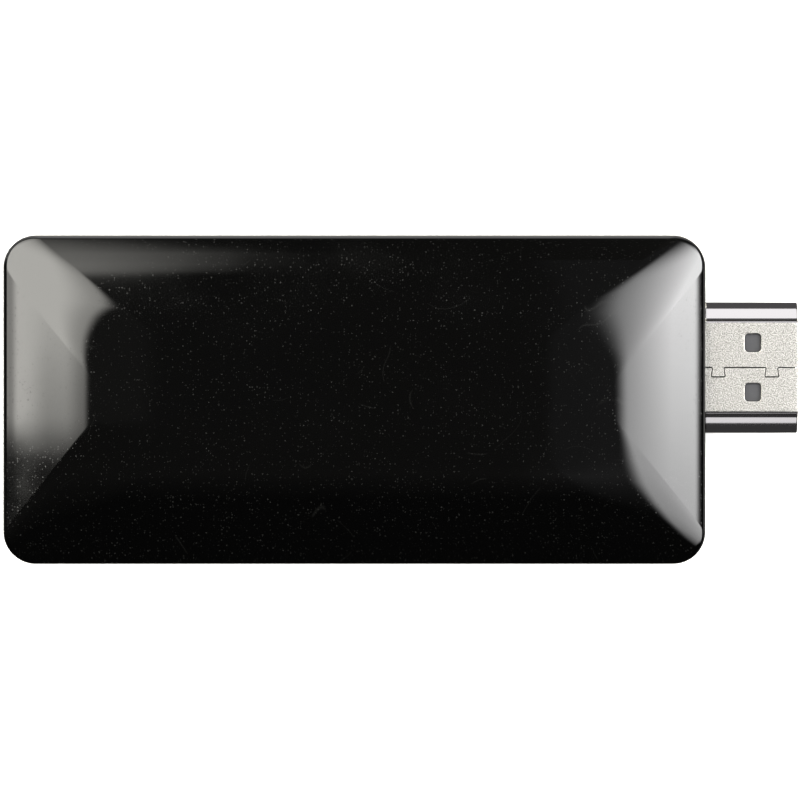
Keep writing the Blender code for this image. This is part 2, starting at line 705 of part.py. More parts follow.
def socket_outline(inset):
    """The socket's outline, as (y, z), with its lower corners cut off."""
    half_y, half_z = SOCKET_WIDTH / 2, SOCKET_HEIGHT / 2
    right = [
        (half_y - SOCKET_CHAMFER, -half_z), (half_y, -half_z + SOCKET_CHAMFER), (half_y, half_z),
    ]
    corners = inset_polygon(right + [(-y, z) for y, z in reversed(right)], inset)
    radius = max(SOCKET_RADIUS - inset, 0.05 * MM)
    rounded = rounded_polygon(corners, [radius] * len(corners), 2)
    return [(SOCKET_OFFSET + y, SOCKET_Z + z) for y, z in rounded]


def make_socket_shell(material):
    shell = object_from("power_socket_shell", prism(socket_outline(0.0), "x", SOCKET_MOUTH, SOCKET_REAR),
                        material)
    hollow = prism(socket_outline(SOCKET_SHEET), "x", SOCKET_MOUTH - OVERLAP, SOCKET_REAR + OVERLAP)
    cut(shell, helper("socket_hollow", hollow))
    for side, name in ((1, "left"), (-1, "right")):
        edge = SOCKET_WIDTH / 2 - SOCKET_SHEET / 2
        faces = sorted((SOCKET_OFFSET + side * edge,
                        SOCKET_OFFSET + side * (SOCKET_WIDTH / 2 + SOCKET_FOOT_WIDTH)))
        low = (SOCKET_REAR - SOCKET_FOOT_LENGTH, faces[0], BOARD_TOP + FINE_GAP)
        high = (SOCKET_REAR, faces[1], BOARD_TOP + FINE_GAP + SOCKET_SHEET)
        add(shell, helper(f"socket_foot_{name}", box(low, high)))
    smooth(shell)
    return shell


def make_socket_insulator(material):
    block = prism(socket_outline(SOCKET_SHEET + FINE_GAP), "x", SOCKET_REAR - BLADE_BLOCK, SOCKET_REAR)
    insulator = object_from("power_socket_insulator", block, material)
    blade = box(
        (SOCKET_REAR - BLADE_BLOCK - BLADE_LENGTH, SOCKET_OFFSET - BLADE_WIDTH / 2,
         BOARD_TOP - BLADE_THICKNESS),
        (SOCKET_REAR - OVERLAP, SOCKET_OFFSET + BLADE_WIDTH / 2, BOARD_TOP))
    add(insulator, helper("socket_blade", blade))
    for name, y in blade_pins():
        way = box((SOCKET_REAR - BLADE_BLOCK - OVERLAP, y - BLADE_PIN_WIDTH / 2 - FINE_GAP, BOARD_TOP),
                  (SOCKET_REAR + OVERLAP, y + BLADE_PIN_WIDTH / 2 + FINE_GAP,
                   BOARD_TOP + 2 * FINE_GAP + BLADE_PIN_THICKNESS))
        cut(insulator, helper(f"way_{name}", way))
    return insulator


def blade_pins():
    middle = (BLADE_PINS - 1) / 2
    return [(f"power_contact_{i + 1}", SOCKET_OFFSET + BLADE_PIN_PITCH * (i - middle))
            for i in range(BLADE_PINS)]


def make_socket_contacts(material):
    start = SOCKET_REAR - BLADE_BLOCK - BLADE_LENGTH + FINE_GAP
    for name, y in blade_pins():
        low = (start, y - BLADE_PIN_WIDTH / 2, BOARD_TOP + FINE_GAP)
        high = (SOCKET_REAR + BLADE_BLOCK, y + BLADE_PIN_WIDTH / 2,
                BOARD_TOP + FINE_GAP + BLADE_PIN_THICKNESS)
        object_from(name, box(low, high), material)


# ------------------------------------------------------------------ button and status light

SWITCH_FRONT = BOARD_START + SWITCH_FROM_BOARD_END
BUTTON_Z = BOARD_TOP + FINE_GAP + SWITCH_HEIGHT / 2
BUTTON_INNER = SOCKET_END + WALL + PORT_GAP
LIGHT_Z = BOARD_TOP + FINE_GAP + LED_HEIGHT / 2


def button_pad(margin, start, end):
    outline = rounded_rectangle(
        (BUTTON_OFFSET, BUTTON_Z), BUTTON_LENGTH / 2 + margin, BUTTON_HEIGHT / 2 + margin,
        0.45 * BUTTON_HEIGHT, 3)
    return prism(outline, "x", start, end)


def make_button(material):
    """The cap's pad sits in the wall and its flange holds it in from behind."""
    cap = object_from(
        "button_cap", button_pad(0.0, SOCKET_END + BUTTON_RECESS, BUTTON_INNER + OVERLAP), material)
    top = min(BUTTON_Z + BUTTON_HEIGHT / 2 + BUTTON_FLANGE_OVERHANG, wall_top() - FINE_GAP)
    reach = BUTTON_LENGTH / 2 + BUTTON_FLANGE_OVERHANG
    low = (BUTTON_INNER, BUTTON_OFFSET - reach, BOARD_TOP + FINE_GAP)
    high = (BUTTON_INNER + BUTTON_FLANGE, BUTTON_OFFSET + reach, top)
    add(cap, helper("button_flange", box(low, high)))
    smooth(cap)
    return cap


def make_switch(housing_material, plunger_material):
    low = (SWITCH_FRONT, BUTTON_OFFSET - SWITCH_WIDTH / 2, BOARD_TOP + FINE_GAP)
    high = (SWITCH_FRONT + SWITCH_LENGTH, BUTTON_OFFSET + SWITCH_WIDTH / 2,
            BOARD_TOP + FINE_GAP + SWITCH_HEIGHT)
    housing = object_from("switch_housing", box(low, high), housing_material)
    bore = plunger_body(FINE_GAP, SWITCH_FRONT - OVERLAP,
                        SWITCH_FRONT + PLUNGER_ENGAGED + BUTTON_TRAVEL + SEAT)
    cut(housing, helper("plunger_bore", bore))
    tip = BUTTON_INNER + BUTTON_FLANGE + SEAT
    object_from("switch_plunger", plunger_body(0.0, tip, SWITCH_FRONT + PLUNGER_ENGAGED), plunger_material)


def plunger_body(margin, start, end):
    half_y = PLUNGER_WIDTH / 2 + margin
    half_z = PLUNGER_HEIGHT / 2 + margin
    return box((start, BUTTON_OFFSET - half_y, BUTTON_Z - half_z),
               (end, BUTTON_OFFSET + half_y, BUTTON_Z + half_z))


def make_status_light(pipe_material, led_material):
    middle = (LIGHT_OFFSET, LIGHT_Z)
    rod = prism(circle(middle, LIGHT_PIPE_DIAMETER / 2), "x", SOCKET_END + PORT_GAP, BUTTON_INNER + OVERLAP)
    pipe = object_from("light_pipe", rod, pipe_material)
    flange = prism(circle(middle, LIGHT_FLANGE_DIAMETER / 2), "x", BUTTON_INNER, BUTTON_INNER + LIGHT_FLANGE)
    add(pipe, helper("light_flange", flange))
    smooth(pipe)
    body = box_at(BOARD_START + LED_LENGTH, LIGHT_OFFSET, BOARD_TOP + FINE_GAP,
                  LED_LENGTH, LED_WIDTH, LED_HEIGHT)
    object_from("status_led", body, led_material)


# ------------------------------------------------------------------ the board and what is on it

def make_board(material):
    middle_x, half_x = (BOARD_START + BOARD_END) / 2, (BOARD_END - BOARD_START) / 2
    outline = rounded_rectangle((middle_x, 0.0), half_x, BOARD_HALF_WIDTH, BOARD_CORNER, 3)
    board = object_from("main_board", prism(outline, "z", BOARD_BOTTOM, BOARD_TOP), material)
    through = (BOARD_BOTTOM - OVERLAP, BOARD_TOP + OVERLAP)
    notch = box(
        (BOARD_START - OVERLAP, SOCKET_OFFSET - SOCKET_WIDTH / 2 - SEAT, through[0]),
        (SOCKET_REAR + SEAT, SOCKET_OFFSET + SOCKET_WIDTH / 2 + SEAT, through[1]))
    cut(board, helper("socket_notch", notch))
    for side, name in ((1, "left"), (-1, "right")):
        y = PLUG_OFFSET + side * (PLUG_WIDTH - PLUG_SHEET) / 2
        half = PLUG_SHEET / 2 + SEAT
        leg_start = BOARD_END + 2 * SEAT - PLUG_LEG_LENGTH
        slot = box((leg_start - SEAT, y - half, through[0]), (BOARD_END + OVERLAP, y + half, through[1]))
        cut(board, helper(f"leg_notch_{name}", slot))
    holes = [(place, SCREW_DIAMETER) for place in SCREW_PLACES]
    holes += [(place, PEG_DIAMETER) for place in PEG_PLACES]
    for i, (place, diameter) in enumerate(holes):
        cut(board, helper(f"board_hole_{i + 1}", prism(circle(place, diameter / 2 + SEAT), "z", *through)))
    return board


def make_screws(material):
    for i, (x, y) in enumerate(SCREW_PLACES):
        seat = BOARD_TOP + FINE_GAP
        head = prism(circle((x, y), SCREW_HEAD_DIAMETER / 2), "z", seat, seat + SCREW_HEAD_HEIGHT)
        screw = object_from(f"board_screw_{i + 1}", head, material)
        bevel(screw, SCREW_HEAD_HEIGHT / 4)
        shank = prism(circle((x, y), SCREW_DIAMETER / 2), "z", seat - SCREW_LENGTH, seat + OVERLAP)
        add(screw, helper(f"shank_{i + 1}", shank))
        low = seat + SCREW_HEAD_HEIGHT - SCREW_RECESS_DEPTH
        for turn, (length, width) in enumerate(((SCREW_RECESS_LENGTH, SCREW_RECESS_WIDTH),
                                                (SCREW_RECESS_WIDTH, SCREW_RECESS_LENGTH))):
            arm = box_at(x, y, low, length, width, SCREW_RECESS_DEPTH + OVERLAP)
            cut(screw, helper(f"cross_{i + 1}_{turn + 1}", arm))
        smooth(screw)


def make_chips(finishes):
    """Every package soldered to the board, by the middle of its foot."""
    ball = BOARD_TOP + SEAT
    foot = BOARD_TOP + FINE_GAP
    processor_x = MIDDLE_X - (CHIP_SPACE + MEMORY_LENGTH) / 2
    memory_x = processor_x + PROCESSOR_SIDE / 2 + CHIP_SPACE + MEMORY_LENGTH / 2
    memory_y = (MEMORY_WIDTH + CHIP_SPACE) / 2
    packages = [
        ("processor", "chip", processor_x, 0.0, ball, PROCESSOR_SIDE, PROCESSOR_SIDE, PROCESSOR_HEIGHT),
        ("memory_chip_1", "chip", memory_x, memory_y, ball, MEMORY_LENGTH, MEMORY_WIDTH, MEMORY_HEIGHT),
        ("memory_chip_2", "chip", memory_x, -memory_y, ball, MEMORY_LENGTH, MEMORY_WIDTH, MEMORY_HEIGHT),
        ("flash_chip", "chip", processor_x, 0.0, BOARD_BOTTOM - SEAT - FLASH_HEIGHT,
         FLASH_LENGTH, FLASH_WIDTH, FLASH_HEIGHT),
        ("power_chip", "chip", MIDDLE_X - 6.0 * MM, ROW_Y, foot, 4.0 * MM, 4.0 * MM, 0.8 * MM),
        ("inductor_1", "ferrite", MIDDLE_X - 12.0 * MM, ROW_Y, foot, 3.8 * MM, 3.8 * MM, 1.6 * MM),
        ("inductor_2", "ferrite", MIDDLE_X, ROW_Y, foot, 3.8 * MM, 3.8 * MM, 1.6 * MM),
        ("bulk_capacitor_1", "tantalum", MIDDLE_X + 5.5 * MM, ROW_Y, foot, 3.2 * MM, 2.6 * MM, 1.4 * MM),
        ("bulk_capacitor_2", "tantalum", MIDDLE_X + 10.5 * MM, ROW_Y, foot, 3.2 * MM, 2.6 * MM, 1.4 * MM),
        ("clock_crystal", "nickel", MIDDLE_X - 4.0 * MM, -ROW_Y, foot, 3.2 * MM, 2.5 * MM, 0.8 * MM),
    ]
    for name, finish, x, y, low, length, width, height in packages:
        bevel(object_from(name, box_at(x, y, low, length, width, height), finishes[finish]), CHIP_BEVEL)
    return processor_x


def make_cooling(processor_x, pad_material, sink_material):
    low = BOARD_TOP + SEAT + PROCESSOR_HEIGHT + FINE_GAP
    object_from("thermal_pad", box_at(processor_x, 0.0, low, PAD_SIDE, PAD_SIDE, PAD_HEIGHT), pad_material)
    base = low + PAD_HEIGHT + FINE_GAP
    edge_x = processor_x - SINK_LENGTH / 2
    top = roof_inside(edge_x, SINK_WIDTH / 2) - SINK_ROOF_GAP
    outline = [(-SINK_WIDTH / 2, base), (SINK_WIDTH / 2, base)]
    pitch = (SINK_WIDTH - SINK_FIN_THICKNESS) / (SINK_FINS - 1)
    for i in reversed(range(SINK_FINS)):
        left = -SINK_WIDTH / 2 + pitch * i
        right = left + SINK_FIN_THICKNESS
        if i < SINK_FINS - 1:
            outline.append((right, base + SINK_BASE))
        outline += [(right, top), (left, top)]
        if i > 0:
            outline.append((left, base + SINK_BASE))
    object_from("heat_sink", prism(outline, "x", edge_x, edge_x + SINK_LENGTH), sink_material)


def make_radio(finishes):
    """A small radio board with a screening can, and a flexible antenna under the roof on a coax lead."""
    low = BOARD_TOP + FINE_GAP
    middle_x = RADIO_START + RADIO_SIDE / 2
    top = low + RADIO_BOARD
    object_from("radio_board", box_at(middle_x, RADIO_OFFSET, low, RADIO_SIDE, RADIO_SIDE, RADIO_BOARD),
                finishes["board"])
    can_x = RADIO_START + RADIO_SIDE - SEAT - CAN_LENGTH / 2
    can_body = box_at(can_x, RADIO_OFFSET, top + FINE_GAP, CAN_LENGTH, CAN_WIDTH, CAN_HEIGHT)
    can = object_from("radio_can", can_body, finishes["nickel"])
    bevel(can, CAN_BEVEL, 2)
    plug_at = (RADIO_START + SEAT + COAX_PLUG_DIAMETER / 2,
               RADIO_OFFSET - RADIO_SIDE / 2 + SEAT + COAX_PLUG_DIAMETER / 2)
    plug_top = top + FINE_GAP + COAX_PLUG_HEIGHT
    plug_body = prism(circle(plug_at, COAX_PLUG_DIAMETER / 2, 12), "z", top + FINE_GAP, plug_top)
    object_from("antenna_plug", plug_body, finishes["gold"])
    far_y = plug_at[1] - SEAT - ANTENNA_WIDTH - COAX_PLUG_DIAMETER
    flex_top = roof_inside(RADIO_START, far_y) - SEAT
    flex_low = (RADIO_START, far_y, flex_top - ANTENNA_THICKNESS)
    flex_high = (RADIO_START + ANTENNA_LENGTH, far_y + ANTENNA_WIDTH, flex_top)
    object_from("antenna_flex", box(flex_low, flex_high), finishes["flex"])
    radius = COAX_DIAMETER / 2
    start = Vector((plug_at[0], plug_at[1], plug_top + FINE_GAP + radius))
    end = Vector((plug_at[0] + 3.0 * MM, far_y + ANTENNA_WIDTH / 2, flex_low[2] - FINE_GAP - radius))
    make_coax(start, end, finishes["coax"])


def make_coax(start, end, material):
    """One smooth lead that leaves the plug level and meets the antenna level."""
    steps = 8
    curve = bpy.data.curves.new("antenna_lead", "CURVE")
    curve.dimensions = "3D"
    curve.bevel_depth = COAX_DIAMETER / 2
    curve.bevel_resolution = 1
    curve.use_fill_caps = True
    line = curve.splines.new("POLY")
    line.points.add(steps)
    for i in range(steps + 1):
        share = i / steps
        rise = share * share * (3 - 2 * share)
        place = start.lerp(end, share)
        place.z = start.z + (end.z - start.z) * rise
        line.points[i].co = (*place, 1.0)
    lead = bpy.data.objects.new("antenna_lead", curve)
    bpy.context.scene.collection.objects.link(lead)
    curve.materials.append(material)
    return lead


# ------------------------------------------------------------------ assembly

def port_cutters():
    """Openings in the end walls, cut from both shells."""
    outer = PLUG_END + OVERLAP
    inner = PLUG_END - WALL - OVERLAP
    plug_port = helper("plug_port", prism(plug_outline(-PORT_GAP), "x", inner, outer))
    start, end = SOCKET_END - OVERLAP, SOCKET_END + WALL + OVERLAP
    mouth = rounded_rectangle(
        (SOCKET_OFFSET, SOCKET_Z), SOCKET_WIDTH / 2 + SOCKET_MOUTH_GAP,
        SOCKET_HEIGHT / 2 + SOCKET_MOUTH_GAP, SOCKET_MOUTH_GAP + SOCKET_RADIUS, 3)
    socket_port = helper("socket_port", prism(mouth, "x", start, end))
    button_port = helper("button_port", button_pad(PORT_GAP, start, end))
    light = circle((LIGHT_OFFSET, LIGHT_Z), LIGHT_PIPE_DIAMETER / 2 + PORT_GAP)
    light_port = helper("light_port", prism(light, "x", start, end))
    return plug_port, socket_port, button_port, light_port


def main():
    for old in list(bpy.data.objects):
        bpy.data.objects.remove(old)
    finishes = make_materials()
    ports = port_cutters()
    make_top_cover(finishes["gloss_case"], ports)
    make_bottom_tray(finishes["gloss_case"], ports)
    make_label(finishes["label"])
    make_board(finishes["board"])
    make_screws(finishes["screw"])
    make_plug_shell(finishes["nickel"])
    make_plug_insulator(finishes["insulator"])
    make_plug_contacts(finishes["gold"])
    make_socket_shell(finishes["nickel"])
    make_socket_insulator(finishes["insulator"])
    make_socket_contacts(finishes["gold"])
    make_button(finishes["button"])
    make_switch(finishes["insulator"], finishes["button"])
    make_status_light(finishes["light_guide"], finishes["led"])
    processor_x = make_chips(finishes)
    make_cooling(processor_x, finishes["thermal_pad"], finishes["aluminium"])
    make_radio(finishes)


main()
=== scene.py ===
"""Looks of a streaming media player stick: a domed gloss case with a digital video plug on one end.

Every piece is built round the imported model, in metres, with +Z up and the video plug towards +X.
"""

import math

import bmesh
import bpy
from bpy.props import FloatProperty, FloatVectorProperty, IntProperty, PointerProperty
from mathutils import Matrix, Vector


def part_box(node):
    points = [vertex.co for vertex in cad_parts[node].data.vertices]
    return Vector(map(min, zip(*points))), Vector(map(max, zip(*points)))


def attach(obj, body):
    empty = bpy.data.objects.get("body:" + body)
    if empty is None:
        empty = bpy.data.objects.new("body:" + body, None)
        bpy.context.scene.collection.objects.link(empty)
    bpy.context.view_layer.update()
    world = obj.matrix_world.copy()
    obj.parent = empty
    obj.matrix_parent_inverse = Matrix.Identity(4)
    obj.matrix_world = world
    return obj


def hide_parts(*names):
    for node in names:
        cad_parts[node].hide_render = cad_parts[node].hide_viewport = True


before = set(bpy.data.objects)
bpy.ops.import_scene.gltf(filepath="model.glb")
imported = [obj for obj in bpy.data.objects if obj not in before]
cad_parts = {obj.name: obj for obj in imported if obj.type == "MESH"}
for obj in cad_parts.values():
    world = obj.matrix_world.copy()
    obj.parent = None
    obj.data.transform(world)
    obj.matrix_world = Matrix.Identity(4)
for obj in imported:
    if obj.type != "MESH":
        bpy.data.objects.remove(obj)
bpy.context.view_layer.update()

bl_info = {
    "name": "Media player stick",
    "version": (1, 0, 0),
    "blender": (4, 5, 0),
    "location": "View3D > Sidebar > Media Player",
    "description": "Builds the shells, plug, sockets and finishes of a streaming media player stick",
    "category": "Object",
}

MM = 0.001

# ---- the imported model's sizes and places
COVER_LOW, COVER_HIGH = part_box("top_cover")
BOARD_LOW, BOARD_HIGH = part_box("main_board")
SHELL_LOW, SHELL_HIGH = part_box("video_plug_shell")
CORE_LOW, CORE_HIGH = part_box("video_plug_insulator")
SOCKET_LOW, SOCKET_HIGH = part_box("power_socket_shell")
BLADE_LOW, BLADE_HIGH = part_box("power_socket_insulator")
CAP_LOW, CAP_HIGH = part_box("button_cap")
SWITCH_LOW, SWITCH_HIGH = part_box("switch_housing")
PIPE_LOW, PIPE_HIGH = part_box("light_pipe")
LABEL_LOW, LABEL_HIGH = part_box("rating_label")

# ---- clearances and overlaps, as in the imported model
SEAT = 0.3 * MM
FINE_GAP = 0.1 * MM
PORT_GAP = 0.15 * MM
OVERLAP = 0.3 * MM

# ---- places that follow from them
CASE_X = (COVER_LOW.x + COVER_HIGH.x) / 2
CASE_LENGTH = COVER_HIGH.x - COVER_LOW.x
CASE_WIDTH = COVER_HIGH.y - COVER_LOW.y
CASE_HEIGHT = COVER_HIGH.z
SOCKET_END = COVER_LOW.x
PLUG_END = COVER_HIGH.x
PLUG_TIP = SHELL_HIGH.x
BOARD_TOP = BOARD_HIGH.z
SEAM_Z = COVER_LOW.z - SEAT / 2
PLUG_Y = (SHELL_LOW.y + SHELL_HIGH.y) / 2
PLUG_Z = (SHELL_LOW.z + SHELL_HIGH.z) / 2
BUTTON_Y = (CAP_LOW.y + CAP_HIGH.y) / 2
BUTTON_Z = (SWITCH_LOW.z + SWITCH_HIGH.z) / 2
SOCKET_Y = (SOCKET_LOW.y + SOCKET_HIGH.y) / 2
SOCKET_Z = (SOCKET_LOW.z + SOCKET_HIGH.z) / 2
CHIP_SPACE = 1.4 * MM

# ---- small edges that several pieces share
SOFT_EDGE = 0.12 * MM
LEAST_RADIUS = 0.04 * MM

# The key panel's brightness for which the levels of its parts are given.
KEY_FULL = 16.5

# ---- how finely round stretches are drawn
CORNER_STEPS = 32
ROLL_STEPS = 10
DOME_RINGS = 56
RING_SPREAD = 1.3
ARC_STEPS = 8
RIM_STEPS = 4
CROWN_STEPS = 8
ROUND_SIDES = 48


# ------------------------------------------------------------------ properties

def linear(code):
    """The linear colour of an sRGB hex code."""
    channels = [int(code[i:i + 2], 16) / 255 for i in (0, 2, 4)]
    return tuple(c / 12.92 if c <= 0.04045 else ((c + 0.055) / 1.055) ** 2.4 for c in channels)


def length(name, millimetres, description):
    return FloatProperty(name=name, description=description, default=millimetres * MM, min=0.0,
                         precision=5, unit="LENGTH")


def angle(name, degrees, description):
    return FloatProperty(name=name, description=description, default=math.radians(degrees),
                         subtype="ANGLE", unit="ROTATION")


def colour(name, code, description):
    return FloatVectorProperty(name=name, description=description, default=linear(code), size=3,
                               min=0.0, max=1.0, subtype="COLOR")


class CaseSizes(bpy.types.PropertyGroup):
    corner_radius: length("Corner radius", 3.4, "Radius of the case's four upright corners")
    wall: length("Wall", 1.6, "Thickness of the side walls")
    roof: length("Roof", 1.5, "Thickness of the cover over the board")
    floor: length("Floor", 1.4, "Thickness of the tray under the board")
    skirt: length("Skirt", 0.75, "Thickness of the cover's skirt outside the tray's lip")
    lip_height: length("Lip height", 1.6, "Height of the tray's lip above the seam")
    lip_gap: length("Lip gap", 0.15, "Play between the lip and the skirt")
    draft: length("Draft", 0.1, "How far each wall leans in over its height")
    seam_gap: length("Seam gap", 0.12, "Open width of the seam between the shells")
    seam_radius: length("Seam radius", 0.1, "Rounding of the two edges at the seam")
    rim_radius: length("Rim radius", 0.35, "Tight part of the rolled edge, above the wall")
    ease_radius: length("Ease radius", 1.5, "Wide part of the rolled edge, below the dome")
    ease_start: angle("Ease start", 45.0, "Slope at which the tight roll gives way to the wide one")
    edge_angle: angle("Edge angle", 30.0, "Slope of the dome where it meets the rolled edge")
    crown_slope: FloatProperty(name="Crown slope", description="Rise of the middle of the dome",
                               default=0.05, min=0.0, max=0.3)
    border_width: length("Border width", 10.5, "Width of the dome's falling border")
    base_radius: length("Base radius", 2.0, "Radius between the walls and the underside")


class PlugSizes(bpy.types.PropertyGroup):
    narrow_width: length("Narrow width", 10.0, "Width of the plug's narrow upper face")
    shoulder_low: length("Shoulder foot", 0.25, "Height of the shoulder's foot over the plug's middle")
    shoulder_high: length("Shoulder head", 1.35, "Height of the shoulder's head over the plug's middle")
    sheet: length("Sheet", 0.35, "Thickness of the plug's sheet metal")
    wide_radius: length("Wide radius", 0.6, "Corner radius of the wide lower face")
    shoulder_radius: length("Shoulder radius", 1.5, "Outer radius of the shoulders")
    crease_radius: length("Crease radius", 0.65, "Inner radius at the head of the shoulders")
    narrow_radius: length("Narrow radius", 0.42, "Corner radius of the narrow face")
    window_length: length("Window length", 1.65, "Length of each latch window along the plug")
    window_width: length("Window width", 1.85, "Width of each latch window")
    window_radius: length("Window radius", 0.35, "Corner radius of the latch windows")
    window_spacing: length("Window spacing", 5.25, "Distance between the windows' middles")
    window_from_case: length("Window from case", 5.0, "Distance from the case to the windows' middles")
    seam_width: length("Seam width", 0.08, "Width of the folded seam along the plug")
    key_width: length("Key width", 1.2, "Width of a dovetail key's neck")
    key_flare: length("Key flare", 0.15, "How much wider a key's foot is at each side")
    key_depth: length("Key depth", 1.0, "Depth of a dovetail key")
    slot_width: length("Slot width", 11.2, "Width of the slot for the other connector's tongue")
    slot_height: length("Slot height", 1.48, "Height of the slot for the tongue")
    slot_depth: length("Slot depth", 8.0, "Depth of the slot for the tongue")


class PortSizes(bpy.types.PropertyGroup):
    socket_width: length("Socket width", 7.5, "Width of the power socket's shell")
    socket_height: length("Socket height", 2.5, "Height of the power socket's shell")
    socket_chamfer: length("Socket chamfer", 0.85, "Cut on the socket's two lower corners")
    socket_radius: length("Socket radius", 0.35, "Radius on the socket's corners")
    socket_sheet: length("Socket sheet", 0.3, "Thickness of the socket's sheet metal")
    mouth_gap: length("Mouth gap", 0.4, "Clearance between the socket and its opening")
    mouth_flare: length("Mouth flare", 0.12, "How far the socket's mouth opens out")
    button_length: length("Button length", 4.0, "Length of the pairing button's pad")
    button_height: length("Button height", 1.6, "Height of the pairing button's pad")
    button_crown: length("Button crown", 0.14, "How far the pad's middle stands over its edge")
    light_diameter: length("Light pipe diameter", 1.4, "Diameter of the status light's pipe")
    light_crown: length("Light crown", 0.12, "How far the light pipe's lens bulges")


class UndersideSizes(bpy.types.PropertyGroup):
    vent_count: IntProperty(name="Vents in a row", description="Slots in each of the two rows",
                            default=7, min=0, max=12)
    vent_pitch: length("Vent pitch", 2.4, "Distance between the slots")
    vent_width: length("Vent width", 1.0, "Width of a slot")
    vent_length: length("Vent length", 6.8, "Length of a slot")
    vent_from_middle: length("Vent from middle", 1.2, "Distance from the middle line to a slot's end")
    vent_chamfer: length("Vent chamfer", 0.14, "Chamfer round each slot")
    label_recess: length("Label recess", 0.35, "Depth of the label's recess")
    label_radius: length("Label radius", 1.2, "Corner radius of the label")
    boss_diameter: length("Boss diameter", 4.4, "Diameter of the screw bosses and peg rests")
    pilot_diameter: length("Pilot diameter", 2.0, "Diameter of the screws' pilot holes")
    peg_diameter: length("Peg diameter", 1.6, "Diameter of the board's locating pegs")
    post_diameter: length("Post diameter", 2.4, "Diameter of the cover's board posts")


class FinishColours(bpy.types.PropertyGroup):
    gloss_black: colour("Gloss black", "010101", "Colour of the two shells")
    dust: colour("Dust", "262624", "Colour of the dust on the gloss")
    button_black: colour("Button black", "141416", "Colour of the pairing button")
    nickel: colour("Nickel", "B9B7B2", "Colour of the nickel plate")
    gold: colour("Gold", "E6C27A", "Colour of the gold flash on the contacts")
    moulding: colour("Moulding", "1A1A1C", "Colour of the insulators")
    light_guide: colour("Light guide", "E9ECEE", "Colour of the light pipe")
    label: colour("Label", "A9ACAE", "Colour of the blank rating label")
    solder_mask: colour("Solder mask", "0E4A2C", "Colour of the boards")


class StageSettings(bpy.types.PropertyGroup):
    camera_height: length("Camera height", 1000.0, "Height of the camera over the underside")
    lens: FloatProperty(name="Lens", description="Focal length in millimetres", default=421.0,
                        min=20.0, max=1000.0)
    key_glow: FloatProperty(name="Key panel", description="Brightness of the plug side's soft panel",
                            default=KEY_FULL, min=0.0)
    fill_glow: FloatProperty(name="Fill panel", description="Brightness of the socket side's soft panel",
                             default=9.0, min=0.0)
    low_glow: FloatProperty(name="Low panel", description="Brightness of the low panel at the far side",
                            default=3.2, min=0.0)
    card_glow: FloatProperty(name="Cards", description="Brightness of the small cards beside the plug",
                             default=1.95, min=0.0)
    wash_glow: FloatProperty(name="Wash", description="Brightness of the panel that lights the floor",
                             default=5.0, min=0.0)
    floor_colour: colour("Floor", "D4D4D2", "Colour of the floor")


# ------------------------------------------------------------------ mesh helpers

def new_piece(name, build, finish):
    """A new object, in place of an older one of its name, whose mesh is what build leaves."""
    old = bpy.data.objects.get(name)
    if old:
        bpy.data.objects.remove(old)
    mesh = bpy.data.meshes.new(name)
    bm = bmesh.new()
    build(bm)
    bmesh.ops.recalc_face_normals(bm, faces=bm.faces)
    bm.to_mesh(mesh)
    bm.free()
    piece = bpy.data.objects.new(name, mesh)
    bpy.context.scene.collection.objects.link(piece)
    if finish:
        mesh.materials.append(finish)
    return piece


def loft(rings, ends=True):
    """A builder that skins equal rings of points. The ends are capped, or the last ring is joined
    to the first."""
    def build(bm):
        loops = [[bm.verts.new(point) for point in ring] for ring in rings]
        pairs = list(zip(loops, loops[1:]))
        if not ends:
            pairs.append((loops[-1], loops[0]))
        count = len(loops[0])
        for low, high in pairs:
            for i in range(count):
                j = (i + 1) % count
                bm.faces.new((low[i], low[j], high[j], high[i]))
        if ends:
            bm.faces.new(loops[0])
            bm.faces.new(loops[-1])
    return build


def box(low, high):
    """A builder of the block between two opposite corners."""
    (x0, y0, z0), (x1, y1, z1) = low, high
    return loft([[(x0, y0, z), (x1, y0, z), (x1, y1, z), (x0, y1, z)] for z in (z0, z1)])


def settle(piece):
    """Makes the piece's modifiers part of its mesh."""
    old = piece.data
    graph = bpy.context.evaluated_depsgraph_get()
    piece.data = bpy.data.meshes.new_from_object(piece.evaluated_get(graph))
    piece.modifiers.clear()
    piece.data.name = old.name
    bpy.data.meshes.remove(old)


def carve(piece, operation, builders):
    """Joins to the piece, or cuts from it, shapes that stay clear of each other."""
    def build(bm):
        for builder in builders:
            builder(bm)
    tool = new_piece(piece.name + "_tool", build, None)
    step = piece.modifiers.new("carve", "BOOLEAN")
    step.operation = operation
    step.object = tool
    settle(piece)
    shape = tool.data
    bpy.data.objects.remove(tool)
    bpy.data.meshes.remove(shape)


def smooth(piece, degrees=30.0):
    """Shades round stretches smooth, and keeps flat faces even up to their rounded edges."""
    piece.data.shade_smooth()
    piece.data.set_sharp_from_angle(angle=math.radians(degrees))
    even = piece.modifiers.new("even_faces", "WEIGHTED_NORMAL")
    even.weight = 100
    even.keep_sharp = True


def stand_in(piece, body, slot, *nodes):
    """The piece rides on a body and stands for its CAD nodes."""
    smooth(piece)
    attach(piece, body)
    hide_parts(*nodes)


def circle(centre, radius, sides=ROUND_SIDES):
    """A round outline."""
    turns = [2 * math.pi * i / sides for i in range(sides)]
    return [(centre[0] + radius * math.cos(t), centre[1] + radius * math.sin(t)) for t in turns]


def rounded_rectangle(centre, half_x, half_y, radius, steps=ARC_STEPS):
    """The outline of a rectangle with round corners, from its middle and half its sizes."""
    points = []
    for corner, (sx, sy) in enumerate(((1, 1), (-1, 1), (-1, -1), (1, -1))):
        for step in range(steps + 1):
            turn = math.pi / 2 * (corner + step / steps)
            points.append((
                centre[0] + sx * (half_x - radius) + radius * math.cos(turn),
                centre[1] + sy * (half_y - radius) + radius * math.sin(turn),
            ))
    return points


